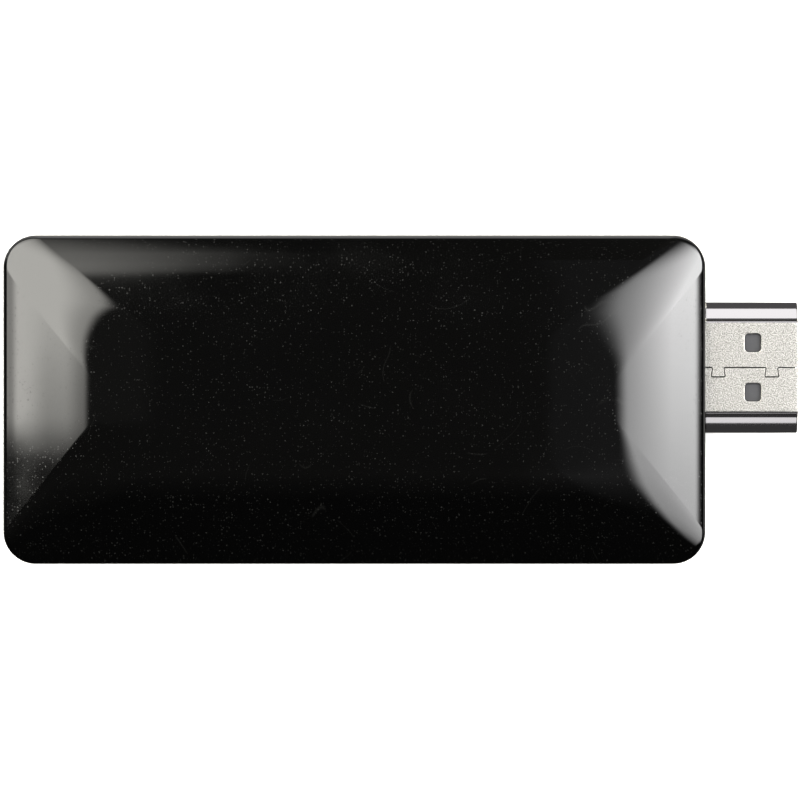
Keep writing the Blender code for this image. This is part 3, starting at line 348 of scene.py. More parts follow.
def fillet(here, before, after, radius, steps=ARC_STEPS):
    """The arc that rounds the corner at here between its neighbours."""
    back = (before - here).normalized()
    ahead = (after - here).normalized()
    half = back.angle(ahead) / 2
    start = here + back * radius / math.tan(half)
    end = here + ahead * radius / math.tan(half)
    centre = here + (back + ahead).normalized() * radius / math.sin(half)
    arms = [(start - centre).lerp(end - centre, i / steps).normalized() for i in range(steps + 1)]
    return [tuple(centre + arm * radius) for arm in arms]


EDGE_SHARE = 0.95


def rounded_polygon(corners, radii, steps=ARC_STEPS):
    """The polygon with each corner replaced by an arc of its radius, or of the largest one that
    leaves room on both its edges for the arcs next to it."""
    corners = [Vector(corner) for corner in corners]
    ends = [(corners[i - 1], corners[(i + 1) % len(corners)]) for i in range(len(corners))]
    halves = [(ends[i][0] - here).angle(ends[i][1] - here) / 2 for i, here in enumerate(corners)]
    reaches = [radius / math.tan(half) for radius, half in zip(radii, halves)]
    points = []
    for i, here in enumerate(corners):
        limit = 1.0
        for j in (i - 1, (i + 1) % len(corners)):
            edge = (corners[j] - here).length
            limit = min(limit, EDGE_SHARE * edge / (reaches[i] + reaches[j]))
        points += fillet(here, *ends[i], radii[i] * limit, steps)
    return points


def mitre(into, out):
    """The step from a corner to its copy one unit to the left of the path."""
    normal_in = Vector((-into.y, into.x))
    normal_out = Vector((-out.y, out.x))
    return (normal_in + normal_out) / (1 + normal_in.dot(normal_out))


def inset_polygon(corners, distance):
    """An anticlockwise polygon with every edge moved inwards by the distance."""
    corners = [Vector(corner) for corner in corners]
    moved = []
    for i, here in enumerate(corners):
        into = (here - corners[i - 1]).normalized()
        out = (corners[(i + 1) % len(corners)] - here).normalized()
        moved.append(tuple(here + mitre(into, out) * distance))
    return moved


def ribbon(path, width):
    """A flat strip of one width along a path, as an outline."""
    path = [Vector(point) for point in path]
    left, right = [], []
    for i, here in enumerate(path):
        into = (here - path[max(i - 1, 0)] if i else path[1] - here).normalized()
        out = (path[i + 1] - here if i + 1 < len(path) else here - path[i - 1]).normalized()
        step = mitre(into, out) * width / 2
        left.append(tuple(here + step))
        right.append(tuple(here - step))
    return left + right[::-1]


def upright(outline, x):
    """A (y, z) outline at one place along the stick."""
    return [(x, y, z) for y, z in outline]


def level(outline, z):
    """An (x, y) outline at one height."""
    return [(x, y, z) for x, y in outline]


def lead_in(reach, rounding, steps=4):
    """(depth, growth) pairs of a cutter that rounds the edge of its opening, from deep to outside."""
    turns = [math.pi / 2 * i / steps for i in range(steps + 1)]
    pairs = [(rounding * (1 - math.sin(t)), rounding * (1 - math.cos(t))) for t in turns]
    return [(reach, 0.0)] + pairs + [(-OVERLAP, rounding)]


# ------------------------------------------------------------------ the case

CORNER_GROWTH = 0.25
CREST_HALF_WIDTH = 0.5 * MM
BORDER_POWER = 1.25
SNAP_COUNT = 3
SNAP_LENGTH = 4.0 * MM
SNAP_DEPTH = 0.4 * MM
SNAP_HEIGHT = 0.5 * MM
SNAP_RISE = 0.35 * MM
SNAP_PLAY = 0.15 * MM
POST_FROM_SOCKET_END = 17.0 * MM
POST_FROM_PLUG_END = 12.0 * MM
PEG_FROM_SOCKET_END = 3.2 * MM
PEG_FROM_PLUG_END = 3.4 * MM
PEG_ROW_SHIFTS = (0.4 * MM, 0.8 * MM)
PEG_PROUD = 0.4 * MM
PLUG_EASE = 0.15 * MM
MOUTH_EASE = 0.2 * MM
BUTTON_EASE = 0.15 * MM
LIGHT_EASE = 0.12 * MM
LIP_EDGE = 0.15 * MM
BASE_STEP = 0.4 * MM
RECESS_EASE = 0.1 * MM


def case_ring(case, inset, height):
    """The case's outline moved in by the inset, at one height. Its corners open up inwards."""
    half_x = CASE_LENGTH / 2 - inset
    half_y = CASE_WIDTH / 2 - inset
    radius = min(case.corner_radius + CORNER_GROWTH * inset, EDGE_SHARE * half_y)
    return level(rounded_rectangle((CASE_X, 0.0), half_x, half_y, radius, CORNER_STEPS), height)


class Dome:
    """The cover's outer shape: its rolled edge, its falling border and its slight crown."""

    def __init__(self, case):
        self.case = case
        first, last = case.ease_start, case.edge_angle
        tight, wide = case.rim_radius, case.ease_radius
        self.roll_width = tight * (1 - math.sin(first)) + wide * (math.sin(first) - math.sin(last))
        roll_rise = tight * math.cos(first) + wide * (math.cos(last) - math.cos(first))
        self.start = case.draft + self.roll_width
        self.span = CASE_WIDTH / 2 - self.start - CREST_HALF_WIDTH
        self.fall = (math.tan(last) - case.crown_slope) * case.border_width / (BORDER_POWER + 1)
        self.rise = self.fall + case.crown_slope * self.span / 2
        self.rim = CASE_HEIGHT - self.rise - roll_rise

    def height(self, inset):
        """Height of the outer face over a point at that inset, inside the rolled edge."""
        run = max(0.0, inset - self.start)
        border = max(0.0, 1 - run / self.case.border_width) ** (BORDER_POWER + 1)
        crown = max(0.0, 1 - run / self.span) ** 2
        return CASE_HEIGHT - self.fall * border - self.case.crown_slope * self.span / 2 * crown

    def ceiling(self, x, y):
        """Height of the inner face over a point, from the nearer wall."""
        inset = min(CASE_LENGTH / 2 - abs(x - CASE_X), CASE_WIDTH / 2 - abs(y))
        return self.height(inset) - self.case.roof

    def outside(self):
        """(inset, height) pairs from the rounded seam edge up the wall, the roll and the dome."""
        case = self.case
        low, rounding = SEAM_Z + case.seam_gap / 2, case.seam_radius
        turns = [math.pi / 2 * i / RIM_STEPS for i in range(RIM_STEPS + 1)]
        profile = [(rounding * (1 - math.sin(t)), low + rounding * (1 - math.cos(t))) for t in turns]
        profile += [(case.draft * share, low + (self.rim - low) * share) for share in (0.2, 0.94, 1.0)]
        first, middle, last = math.pi / 2, case.ease_start, case.edge_angle
        for radius, start, end in ((case.rim_radius, first, middle), (case.ease_radius, middle, last)):
            inset, height = profile[-1]
            for step in range(1, ROLL_STEPS + 1):
                tilt = start + (end - start) * step / ROLL_STEPS
                profile.append((inset + radius * (math.sin(start) - math.sin(tilt)),
                                height + radius * (math.cos(tilt) - math.cos(start))))
        for step in range(1, DOME_RINGS + 1):
            inset = self.start + self.span * (step / DOME_RINGS) ** RING_SPREAD
            profile.append((inset, self.height(inset)))
        return profile

    def inside(self):
        """(inset, height) pairs down the inner face, from the crest to the skirt's foot."""
        case = self.case
        reach = case.wall + self.roll_width
        rings = DOME_RINGS // 2
        profile = []
        for step in reversed(range(1, rings + 1)):
            inset = reach + (self.start + self.span - reach) * (step / rings) ** RING_SPREAD
            profile.append((inset, self.height(inset) - case.roof))
        rebate = SEAM_Z + case.lip_height + SEAT
        wall_top = self.height(case.wall) - case.roof - self.roll_width
        foot = SEAM_Z + case.seam_gap / 2
        profile += [(case.wall, wall_top), (case.wall, rebate), (case.skirt, rebate), (case.skirt, foot)]
        return profile


def snap_places():
    """Middles of the snaps along each long side."""
    pitch = CASE_LENGTH / SNAP_COUNT
    return [CASE_X + pitch * (i - (SNAP_COUNT - 1) / 2) for i in range(SNAP_COUNT)]


def screw_places():
    """Middles of the two board screws."""
    corners = [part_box(f"board_screw_{i}") for i in (1, 2)]
    return [((low.x + high.x) / 2, (low.y + high.y) / 2) for low, high in corners]


def row_places(near_socket, near_plug, side, further=(0.0, 0.0)):
    """Two places in line with the board screws, or across from them, by their distance from the
    board's ends, and how far each is shifted off that line."""
    row = side * -screw_places()[0][1]
    return [(BOARD_LOW.x + near_socket, row + further[0]), (BOARD_HIGH.x - near_plug, row + further[1])]


def port(outline_at, face, inward, reach, rounding):
    """A cutter through an end wall. outline_at gives its (y, z) outline at a growth."""
    return loft([upright(outline_at(growth), face + inward * depth)
                 for depth, growth in lead_in(reach, rounding)])


def port_cutters(case, plug, ports):
    """Openings in the end walls, cut from both shells, with moulded lead-ins."""
    reach = case.wall + OVERLAP

    def mouth(growth):
        gap = ports.mouth_gap + growth
        return rounded_rectangle((SOCKET_Y, SOCKET_Z), ports.socket_width / 2 + gap,
                                 ports.socket_height / 2 + gap, ports.socket_radius + gap)

    def light(growth):
        return circle(pipe_middle(), ports.light_diameter / 2 + PORT_GAP + growth)

    return [
        port(lambda growth: plug_outline(plug, -PORT_GAP - growth), PLUG_END, -1, reach, PLUG_EASE),
        port(mouth, SOCKET_END, 1, reach, MOUTH_EASE),
        port(lambda growth: pad_outline(ports, PORT_GAP + growth), SOCKET_END, 1, reach, BUTTON_EASE),
        port(light, SOCKET_END, 1, reach, LIGHT_EASE),
    ]


def build_cover(case, plug, ports, under, finish):
    """The domed shell with its snap wedges, its two posts over the board and its ports."""
    dome = Dome(case)
    profile = list(reversed(dome.outside())) + list(reversed(dome.inside()))
    cover = new_piece("domed_cover", loft([case_ring(case, *pair) for pair in profile]), finish)
    half = CASE_WIDTH / 2
    inner = []
    for x in snap_places():
        for side in (1, -1):
            faces = sorted((side * (half - case.skirt + OVERLAP), side * (half - case.skirt - SNAP_DEPTH)))
            inner.append(box((x - SNAP_LENGTH / 2, faces[0], SEAM_Z + SNAP_RISE),
                             (x + SNAP_LENGTH / 2, faces[1], SEAM_Z + SNAP_RISE + SNAP_HEIGHT)))
    for place in row_places(POST_FROM_SOCKET_END, POST_FROM_PLUG_END, -1):
        top = dome.ceiling(*place) + case.roof / 2
        outline = circle(place, under.post_diameter / 2)
        inner.append(loft([level(outline, BOARD_TOP + SEAT), level(outline, top)]))
    carve(cover, "UNION", inner)
    carve(cover, "DIFFERENCE", port_cutters(case, plug, ports))
    stand_in(cover, "player", "gloss_case", "top_cover")


def tray_profile(case):
    """(inset, height) pairs from the middle of the floor, over the lip and the seam, to the base."""
    reach = CASE_WIDTH / 2 - CREST_HALF_WIDTH
    inner = case.base_radius - case.floor / 2
    turns = [math.pi / 2 * i / ARC_STEPS for i in range(ARC_STEPS + 1)]
    profile = [(reach, case.floor)]
    profile += [(case.wall + inner * (1 - math.sin(t)), case.floor + inner * (1 - math.cos(t)))
                for t in turns]
    lip_top, lip_face = SEAM_Z + case.lip_height, case.skirt + case.lip_gap
    profile += [(case.wall, lip_top - LIP_EDGE), (case.wall - LIP_EDGE, lip_top)]
    profile += [(lip_face + LIP_EDGE, lip_top), (lip_face, lip_top - LIP_EDGE)]
    profile.append((lip_face, SEAM_Z - case.seam_gap / 2))
    top, rounding = SEAM_Z - case.seam_gap / 2, case.seam_radius
    profile += [(rounding * (1 - math.sin(t)), top - rounding * (1 - math.cos(t))) for t in turns]
    wall_foot = case.base_radius
    profile += [(case.draft * share, top + (wall_foot - top) * share) for share in (0.2, 0.9)]
    profile += [(case.draft + wall_foot * (1 - math.cos(t)), wall_foot * (1 - math.sin(t))) for t in turns]
    return profile + [(case.draft + wall_foot + BASE_STEP, 0.0), (reach, 0.0)]


def vent_cutters(case, under):
    """Two rows of slots through the tray's floor."""
    first = LABEL_HIGH.x + FINE_GAP + under.vent_pitch + 2 * CHIP_SPACE
    cutters = []
    for side in (1, -1):
        y = side * (under.vent_from_middle + under.vent_length / 2)
        for i in range(under.vent_count):
            rings = []
            for depth, growth in lead_in(case.floor + OVERLAP, under.vent_chamfer, 3):
                half_x, half_y = under.vent_width / 2 + growth, under.vent_length / 2 + growth
                outline = rounded_rectangle((first + under.vent_pitch * i, y), half_x, half_y, 0.96 * half_x)
                rings.append(level(outline, depth))
            cutters.append(loft(rings))
    return cutters


def label_outline(under, margin):
    """The label's outline, grown by the margin."""
    middle = ((LABEL_LOW.x + LABEL_HIGH.x) / 2, (LABEL_LOW.y + LABEL_HIGH.y) / 2)
    half_x = (LABEL_HIGH.x - LABEL_LOW.x) / 2 + margin
    half_y = (LABEL_HIGH.y - LABEL_LOW.y) / 2 + margin
    return rounded_rectangle(middle, half_x, half_y, under.label_radius + margin)


def build_tray(case, plug, ports, under, finish):
    """The lower shell with its bosses, pegs, snap windows, vents, ports and label recess."""
    tray = new_piece("base_tray", loft([case_ring(case, *pair) for pair in tray_profile(case)]), finish)
    half = CASE_WIDTH / 2
    stand = BOARD_LOW.z - SEAT
    foot = case.floor - OVERLAP
    stands = []
    for place in screw_places():
        stands.append(loft([level(circle(place, under.boss_diameter / 2), z) for z in (foot, stand)]))
    for place in row_places(PEG_FROM_SOCKET_END, PEG_FROM_PLUG_END, 1, PEG_ROW_SHIFTS):
        wide, narrow = under.boss_diameter / 2, under.peg_diameter / 2
        tip = BOARD_TOP + PEG_PROUD
        steps = ((wide, foot), (wide, stand), (narrow, stand), (narrow, tip - SEAT / 2), (narrow / 2, tip))
        stands.append(loft([level(circle(place, radius), z) for radius, z in steps]))
    carve(tray, "UNION", stands)
    cuts = vent_cutters(case, under) + port_cutters(case, plug, ports)
    for place in screw_places():
        outline = circle(place, under.pilot_diameter / 2)
        cuts.append(loft([level(outline, foot), level(outline, stand + OVERLAP)]))
    window = SNAP_LENGTH / 2 + SNAP_PLAY
    for x in snap_places():
        cuts.append(box(
            (x - window, -half + case.skirt, SEAM_Z + SNAP_RISE - SNAP_PLAY),
            (x + window, half - case.skirt, SEAM_Z + SNAP_RISE + SNAP_HEIGHT + SNAP_PLAY)))
    recess = lead_in(under.label_recess, RECESS_EASE)
    cuts.append(loft([level(label_outline(under, 2 * FINE_GAP + growth), depth) for depth, growth in recess]))
    carve(tray, "DIFFERENCE", cuts)
    stand_in(tray, "player", "gloss_case", "bottom_tray")


def build_label(under, finish):
    """A thin blank film with softened edges."""
    edge = 0.04 * MM
    low, high = LABEL_LOW.z, LABEL_HIGH.z
    steps = ((-edge, low), (0.0, low + edge), (0.0, high - edge), (-edge, high))
    film = new_piece("blank_label_film",
                     loft([level(label_outline(under, margin), z) for margin, z in steps]), finish)
    stand_in(film, "player", "label", "rating_label")


# ------------------------------------------------------------------ the video plug

KEY_PLACES = (1.3 * MM, 7.0 * MM)
PIN_WIDTH = 0.45 * MM
PIN_THICKNESS = 0.2 * MM
PIN_BUMP = 0.12 * MM
PIN_CREST = 1.6 * MM
PIN_BOW_REACH = 1.5 * MM
PIN_NOSE = 0.05 * MM
LEG_LENGTH = 2.8 * MM
LEG_HEIGHT = 0.9 * MM
KEY_RADIUS = 0.13 * MM
SEAM_EASE = 0.06 * MM
WINDOW_EASE = 0.14 * MM
SLOT_SIDE = 0.1 * MM
SLOT_SHOULDER = 0.9 * MM
SLOT_LEAD = 0.4 * MM
SLOT_FLARE = 0.18 * MM
RIM_ROUNDING = 0.42
BEND_REACH = 4
LEG_SHARE = 0.8


def plug_outline(plug, inset):
    """The plug's rounded outline, moved in by the inset: the narrow face up, the wide one down."""
    half = (SHELL_HIGH.z - SHELL_LOW.z) / 2
    wide, narrow = (SHELL_HIGH.y - SHELL_LOW.y) / 2, plug.narrow_width / 2
    right = [(wide, -half), (wide, plug.shoulder_low), (narrow, plug.shoulder_high), (narrow, half)]
    corners = inset_polygon(right + [(-y, z) for y, z in reversed(right)], inset)
    radii = [plug.wide_radius - inset, plug.shoulder_radius - inset,
             plug.crease_radius + inset, plug.narrow_radius - inset]
    radii = [max(radius, LEAST_RADIUS) for radius in radii + radii[::-1]]
    return [(PLUG_Y + y, PLUG_Z + z) for y, z in rounded_polygon(corners, radii)]


def sheet_tube(outline_at, rear, front, sheet, flare=0.0):
    """A tube of folded sheet metal along the stick, its front rim rounded over and flared out."""
    way = 1 if front > rear else -1
    turns = [math.pi / 2 * i / RIM_STEPS for i in range(RIM_STEPS + 1)]
    rounding = RIM_ROUNDING * sheet
    bend = front - way * BEND_REACH * sheet
    outer = [(rear, 0.0), (bend, 0.0)]
    outer += [(front - way * rounding * (1 - math.sin(t)), rounding * (1 - math.cos(t)) - flare)
              for t in turns]
    inner = [(rear, sheet), (bend, sheet)]
    inner += [(front - way * rounding * (1 - math.sin(t)), sheet - rounding * (1 - math.cos(t)) - flare)
              for t in turns]
    return loft([upright(outline_at(inset), x) for x, inset in outer + inner[::-1]], ends=False)


def key_path(plug, start, end):
    """The line of the shell's folded seam, with a dovetail key at each of its places."""
    corners = [(start, PLUG_Y)]
    for place in KEY_PLACES:
        middle = PLUG_END + place
        neck, foot = plug.key_width / 2, plug.key_width / 2 + plug.key_flare
        corners += [
            (middle - neck, PLUG_Y), (middle - foot, PLUG_Y - plug.key_depth),
            (middle + foot, PLUG_Y - plug.key_depth), (middle + neck, PLUG_Y),
        ]
    corners = [Vector(corner) for corner in corners + [(end, PLUG_Y)]]
    path = [tuple(corners[0])]
    for i in range(1, len(corners) - 1):
        path += fillet(corners[i], corners[i - 1], corners[i + 1], KEY_RADIUS, 3)
    return path + [tuple(corners[-1])]


def build_plug_shell(plug, finish):
    """The folded shell with its solder legs, latch windows and keyed seam."""
    rear = CORE_LOW.x + SEAT
    shell = new_piece("plug_shell_sheet",
                      sheet_tube(lambda inset: plug_outline(plug, inset), rear, PLUG_TIP, plug.sheet), finish)
    legs = []
    for side in (1, -1):
        y = PLUG_Y + side * ((SHELL_HIGH.y - SHELL_LOW.y) - plug.sheet) / 2
        low = SHELL_LOW.z + plug.wide_radius
        half = LEG_SHARE * plug.sheet / 2
        legs.append(box((rear - LEG_LENGTH, y - half, low), (rear + OVERLAP, y + half, low + LEG_HEIGHT)))
    carve(shell, "UNION", legs)
    face = SHELL_HIGH.z
    through = plug.sheet + OVERLAP / 2
    cuts = []
    for side in (1, -1):
        middle = (PLUG_END + plug.window_from_case, PLUG_Y + side * plug.window_spacing / 2)
        rings = []
        for depth, growth in lead_in(through, WINDOW_EASE):
            outline = rounded_rectangle(middle, plug.window_length / 2 + growth,
                                        plug.window_width / 2 + growth, plug.window_radius + growth)
            rings.append(level(outline, face - depth))
        cuts.append(loft(rings))
    path = key_path(plug, rear - OVERLAP, PLUG_TIP + OVERLAP)
    cuts.append(loft([level(ribbon(path, plug.seam_width + 2 * growth), face - depth)
                      for depth, growth in lead_in(through, SEAM_EASE, 3)]))
    carve(shell, "DIFFERENCE", cuts)
    stand_in(shell, "player", "nickel", "video_plug_shell")


def plug_pins():
    """(node name, y, side) of the 19 contacts. Odd ones lie below the tongue and even ones above."""
    pins = []
    for number in range(1, 20):
        name = f"video_contact_{number:02d}"
        low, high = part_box(name)
        pins.append((name, (low.y + high.y) / 2, -1 if number % 2 else 1))
    return pins


def pin_face(side):
    """Height of the face of a contact that is nearer to the tongue."""
    return PLUG_Z + side * ((BOARD_TOP - BOARD_LOW.z) / 2 + FINE_GAP)


def build_plug_core(plug, finish):
    """The insulator with its slot for the tongue and a groove for each contact."""
    front, rear = CORE_HIGH.x, CORE_LOW.x
    inset = plug.sheet + FINE_GAP
    rings = [upright(plug_outline(plug, inset), x) for x in (rear, front - SOFT_EDGE)]
    rings.append(upright(plug_outline(plug, inset + SOFT_EDGE), front))
    core = new_piece("plug_core", loft(rings), finish)
    half_y, half_z = plug.slot_width / 2, plug.slot_height / 2
    right = [(half_y, -half_z), (half_y, SLOT_SIDE), (half_y - SLOT_SHOULDER, half_z)]
    corners = right + [(-y, z) for y, z in reversed(right)]
    stations = ((plug.slot_depth, 0.0), (SLOT_LEAD, 0.0), (0.0, SLOT_FLARE), (-OVERLAP, SLOT_FLARE))
    slot = [upright([(PLUG_Y + y, PLUG_Z + z) for y, z in inset_polygon(corners, -growth)], front - depth)
            for depth, growth in stations]
    carve(core, "DIFFERENCE", [loft(slot)])
    grooves = []
    for _, y, side in plug_pins():
        near = pin_face(side) - side * FINE_GAP
        faces = sorted((near, near + side * (PIN_THICKNESS + 2 * FINE_GAP)))
        half = PIN_WIDTH / 2 + FINE_GAP
        grooves.append(box((rear - OVERLAP, y - half, faces[0]), (front + OVERLAP, y + half, faces[1])))
    carve(core, "DIFFERENCE", grooves)
    stand_in(core, "player", "insulator", "video_plug_insulator")


def strip(stations, width, thickness):
    """A formed metal strip with rounded edges through (x, y, z, scale) stations."""
    section = rounded_rectangle((0.0, 0.0), width / 2, thickness / 2, 0.3 * thickness, 2)
    return loft([[(x, y + a * scale, z + b * scale) for a, b in section] for x, y, z, scale in stations])


def build_plug_contacts(finish):
    """Nineteen strips, each bowed towards the tongue just behind its tip."""
    for name, y, side in plug_pins():
        low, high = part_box(name)
        middle = pin_face(side) + side * PIN_THICKNESS / 2
        crest = high.x - PIN_CREST
        stations = [(low.x, y, middle, 0.7), (low.x + PIN_NOSE, y, middle, 1.0)]
        for step in range(2 * CROWN_STEPS + 1):
            share = step / CROWN_STEPS - 1
            bow = PIN_BUMP * (1 + math.cos(math.pi * share)) / 2
            stations.append((crest + PIN_BOW_REACH * share, y, middle - side * bow, 1.0))
        stations.append((high.x, y, middle, 0.6))
        piece = new_piece("plug_strip_" + name[-2:], strip(stations, PIN_WIDTH, PIN_THICKNESS), finish)
        stand_in(piece, "player", "gold", name)


# ------------------------------------------------------------------ the power socket

BLADE_WIDTH = 3.7 * MM
BLADE_THICKNESS = 0.6 * MM
BLADE_BLOCK = 1.0 * MM
FOOT_LENGTH = 2.4 * MM
BLADE_PINS = 5
BLADE_RADIUS = 0.1 * MM


def socket_outline(ports, inset):
    """The power socket's outline, moved in by the inset, with its lower corners cut off."""
    half_y, half_z = ports.socket_width / 2, ports.socket_height / 2
    right = [(half_y - ports.socket_chamfer, -half_z), (half_y, -half_z + ports.socket_chamfer),
             (half_y, half_z)]
    corners = inset_polygon(right + [(-y, z) for y, z in reversed(right)], inset)
    radius = max(ports.socket_radius - inset, LEAST_RADIUS)
    return [(SOCKET_Y + y, SOCKET_Z + z) for y, z in rounded_polygon(corners, [radius] * len(corners))]


def build_socket_shell(ports, finish):
    """The socket's flared shell and the two feet that hold it to the board."""
    shell = new_piece(
        "socket_shell_sheet",
        sheet_tube(lambda inset: socket_outline(ports, inset), SOCKET_HIGH.x, SOCKET_LOW.x,
                   ports.socket_sheet, ports.mouth_flare),
        finish)
    feet = []
    for side in (1, -1):
        edge = ports.socket_width / 2 - ports.socket_sheet / 2
        outer = (SOCKET_HIGH.y - SOCKET_LOW.y) / 2
        faces = sorted((SOCKET_Y + side * edge, SOCKET_Y + side * outer))
        feet.append(box((SOCKET_HIGH.x - FOOT_LENGTH, faces[0], BOARD_TOP + FINE_GAP),
                        (SOCKET_HIGH.x - SEAT / 2, faces[1], BOARD_TOP + FINE_GAP + ports.socket_sheet)))
    carve(shell, "UNION", feet)
    stand_in(shell, "player", "nickel", "power_socket_shell")


def socket_pins():
    """(node name, y) of the five contacts."""
    corners = [(f"power_contact_{i + 1}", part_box(f"power_contact_{i + 1}")) for i in range(BLADE_PINS)]
    return [(name, (low.y + high.y) / 2) for name, (low, high) in corners]


def build_socket_core(ports, finish):
    """The insulator: a block at the rear, and a blade that carries the contacts."""
    rear = BLADE_HIGH.x
    inset = ports.socket_sheet + FINE_GAP
    core = new_piece(
        "socket_core",
        loft([upright(socket_outline(ports, inset), x) for x in (rear - BLADE_BLOCK, rear)]), finish)
    tip, middle = BLADE_LOW.x, (SOCKET_Y, BOARD_TOP - BLADE_THICKNESS / 2)
    rings = []
    for x, cut_back in ((tip, SOFT_EDGE), (tip + 2 * SOFT_EDGE, 0.0), (rear - OVERLAP, 0.0)):
        outline = rounded_rectangle(middle, BLADE_WIDTH / 2 - cut_back, BLADE_THICKNESS / 2 - cut_back,
                                    BLADE_RADIUS, 3)
        rings.append(upright(outline, x))
    carve(core, "UNION", [loft(rings)])
    low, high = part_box("power_contact_1")
    half = (high.y - low.y) / 2 + FINE_GAP
    start, end, top = rear - BLADE_BLOCK - OVERLAP, rear + OVERLAP, high.z + FINE_GAP
    ways = [box((start, y - half, BOARD_TOP), (end, y + half, top)) for _, y in socket_pins()]
    carve(core, "DIFFERENCE", ways)
    stand_in(core, "player", "insulator", "power_socket_insulator")


def build_socket_contacts(finish):
    """Five flat strips with narrowed ends."""
    for name, y in socket_pins():
        low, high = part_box(name)
        z = (low.z + high.z) / 2
        stations = [(low.x, y, z, 0.5), (low.x + 2 * PIN_NOSE, y, z, 1.0), (high.x - PIN_NOSE, y, z, 1.0),
                    (high.x, y, z, 0.7)]
        piece = new_piece("socket_strip_" + name[-1], strip(stations, high.y - low.y, high.z - low.z), finish)
        stand_in(piece, "player", "gold", name)


# ------------------------------------------------------------------ button and status light

PAD_OVERLAP = 0.3 * MM
PAD_CROWN_SHARE = 0.6
PAD_ROUNDNESS = 0.45
FLANGE_RADIUS = 0.3 * MM
LIGHT_FLANGE = 0.5 * MM
LIGHT_EDGE = 0.06 * MM


def pad_outline(ports, margin):
    """The pairing button's outline, grown by the margin."""
    half_y, half_z = ports.button_length / 2 + margin, ports.button_height / 2 + margin
    return rounded_rectangle((BUTTON_Y, BUTTON_Z), half_y, half_z,
                             PAD_ROUNDNESS * ports.button_height + margin)


def build_button(case, ports, finish):
    """A crowned pad in the wall, held from behind by its flange."""
    front, inner = CAP_LOW.x, SOCKET_END + case.wall + PORT_GAP
    widest = PAD_CROWN_SHARE * ports.button_height / 2
    profile = []
    for step in range(CROWN_STEPS + 1):
        turn = math.pi / 2 * step / CROWN_STEPS
        profile.append((front + ports.button_crown * (1 - math.cos(turn)), -widest * (1 - math.sin(turn))))
    profile.append((inner + PAD_OVERLAP, 0.0))
    cap = new_piece("button_pad", loft([upright(pad_outline(ports, margin), x) for x, margin in profile]),
                    finish)
    half_y, half_z = (CAP_HIGH.y - CAP_LOW.y) / 2, (CAP_HIGH.z - CAP_LOW.z) / 2
    middle = (BUTTON_Y, (CAP_LOW.z + CAP_HIGH.z) / 2)
    stations = ((inner, SOFT_EDGE), (inner + SOFT_EDGE, 0.0), (CAP_HIGH.x - SOFT_EDGE, 0.0),
                (CAP_HIGH.x, SOFT_EDGE))
    rings = [upright(rounded_rectangle(middle, half_y - shrink, half_z - shrink, FLANGE_RADIUS), x)
             for x, shrink in stations]
    carve(cap, "UNION", [loft(rings)])
    stand_in(cap, "button", "button", "button_cap")


def pipe_middle():
    """(y, z) of the light pipe's axis."""
    return (PIPE_LOW.y + PIPE_HIGH.y) / 2, (PIPE_LOW.z + PIPE_HIGH.z) / 2


def build_light_pipe(ports, finish):
    """A turned rod with a bulging lens in front and a flange behind the wall."""
    radius, flange = ports.light_diameter / 2, (PIPE_HIGH.y - PIPE_LOW.y) / 2
    profile = []
    for step in range(1, CROWN_STEPS + 1):
        turn = math.pi / 2 * step / CROWN_STEPS
        profile.append((PIPE_LOW.x + ports.light_crown * (1 - math.cos(turn)), radius * math.sin(turn)))
    start = PIPE_HIGH.x - LIGHT_FLANGE
    profile += [(start, radius), (start, flange - LIGHT_EDGE), (start + LIGHT_EDGE, flange),
                (PIPE_HIGH.x - LIGHT_EDGE, flange), (PIPE_HIGH.x, flange - LIGHT_EDGE)]
    pipe = new_piece("light_guide_rod",
                     loft([upright(circle(pipe_middle(), size), x) for x, size in profile]), finish)
    stand_in(pipe, "player", "light_guide", "light_pipe")


# ------------------------------------------------------------------ finishes

def add(tree, kind, inputs=None, **settings):
    """Adds one node: its settings first, then each input as a value or as a link from a socket."""
    node = tree.nodes.new(kind)
    for key, value in settings.items():
        setattr(node, key, value)
    for key, value in (inputs or {}).items():
        if isinstance(value, bpy.types.NodeSocket):
            tree.links.new(value, node.inputs[key])
        else:
            node.inputs[key].default_value = value
    return node


def start_finish(name, base, roughness, metallic=0.0, ior=1.5):
    """A material with one Principled shader. Returns it, its tree, the shader and the coordinates."""
    finish = bpy.data.materials.get(name) or bpy.data.materials.new(name)
    finish.use_nodes = True
    tree = finish.node_tree
    tree.nodes.clear()
    shader = add(tree, "ShaderNodeBsdfPrincipled",
                 {"Base Color": (*base, 1.0), "Roughness": roughness, "Metallic": metallic})
    if not metallic:
        shader.inputs["IOR"].default_value = ior
    add(tree, "ShaderNodeOutputMaterial", {"Surface": shader.outputs["BSDF"]})
    where = add(tree, "ShaderNodeTexCoord").outputs["Object"]
    return finish, tree, shader, where


def cells_of(millimetres):
    """The scale at which a texture's cells have that size."""
    return 1 / (millimetres * MM)


def specks(tree, where, spacing, largest, share):
    """A mask of round specks in that share of a lattice's cells, and each speck's own random level."""
    lattice = add(tree, "ShaderNodeTexVoronoi", {"Vector": where, "Scale": cells_of(spacing)})
    lots = add(tree, "ShaderNodeSeparateColor", {"Color": lattice.outputs["Color"]})
    radius = add(tree, "ShaderNodeMapRange", {
        "Value": lots.outputs["Red"], "From Min": 1 - share, "From Max": 1.0, "To Min": 0.0,
        "To Max": largest / spacing / 2})
    inside = add(tree, "ShaderNodeMath", {0: radius.outputs[0], 1: lattice.outputs["Distance"]},
                 operation="SUBTRACT")
    mask = add(tree, "ShaderNodeMapRange", {
        "Value": inside.outputs[0], "From Min": 0.0, "From Max": 0.08, "To Min": 0.0, "To Max": 1.0})
    return mask.outputs[0], lots.outputs["Green"]


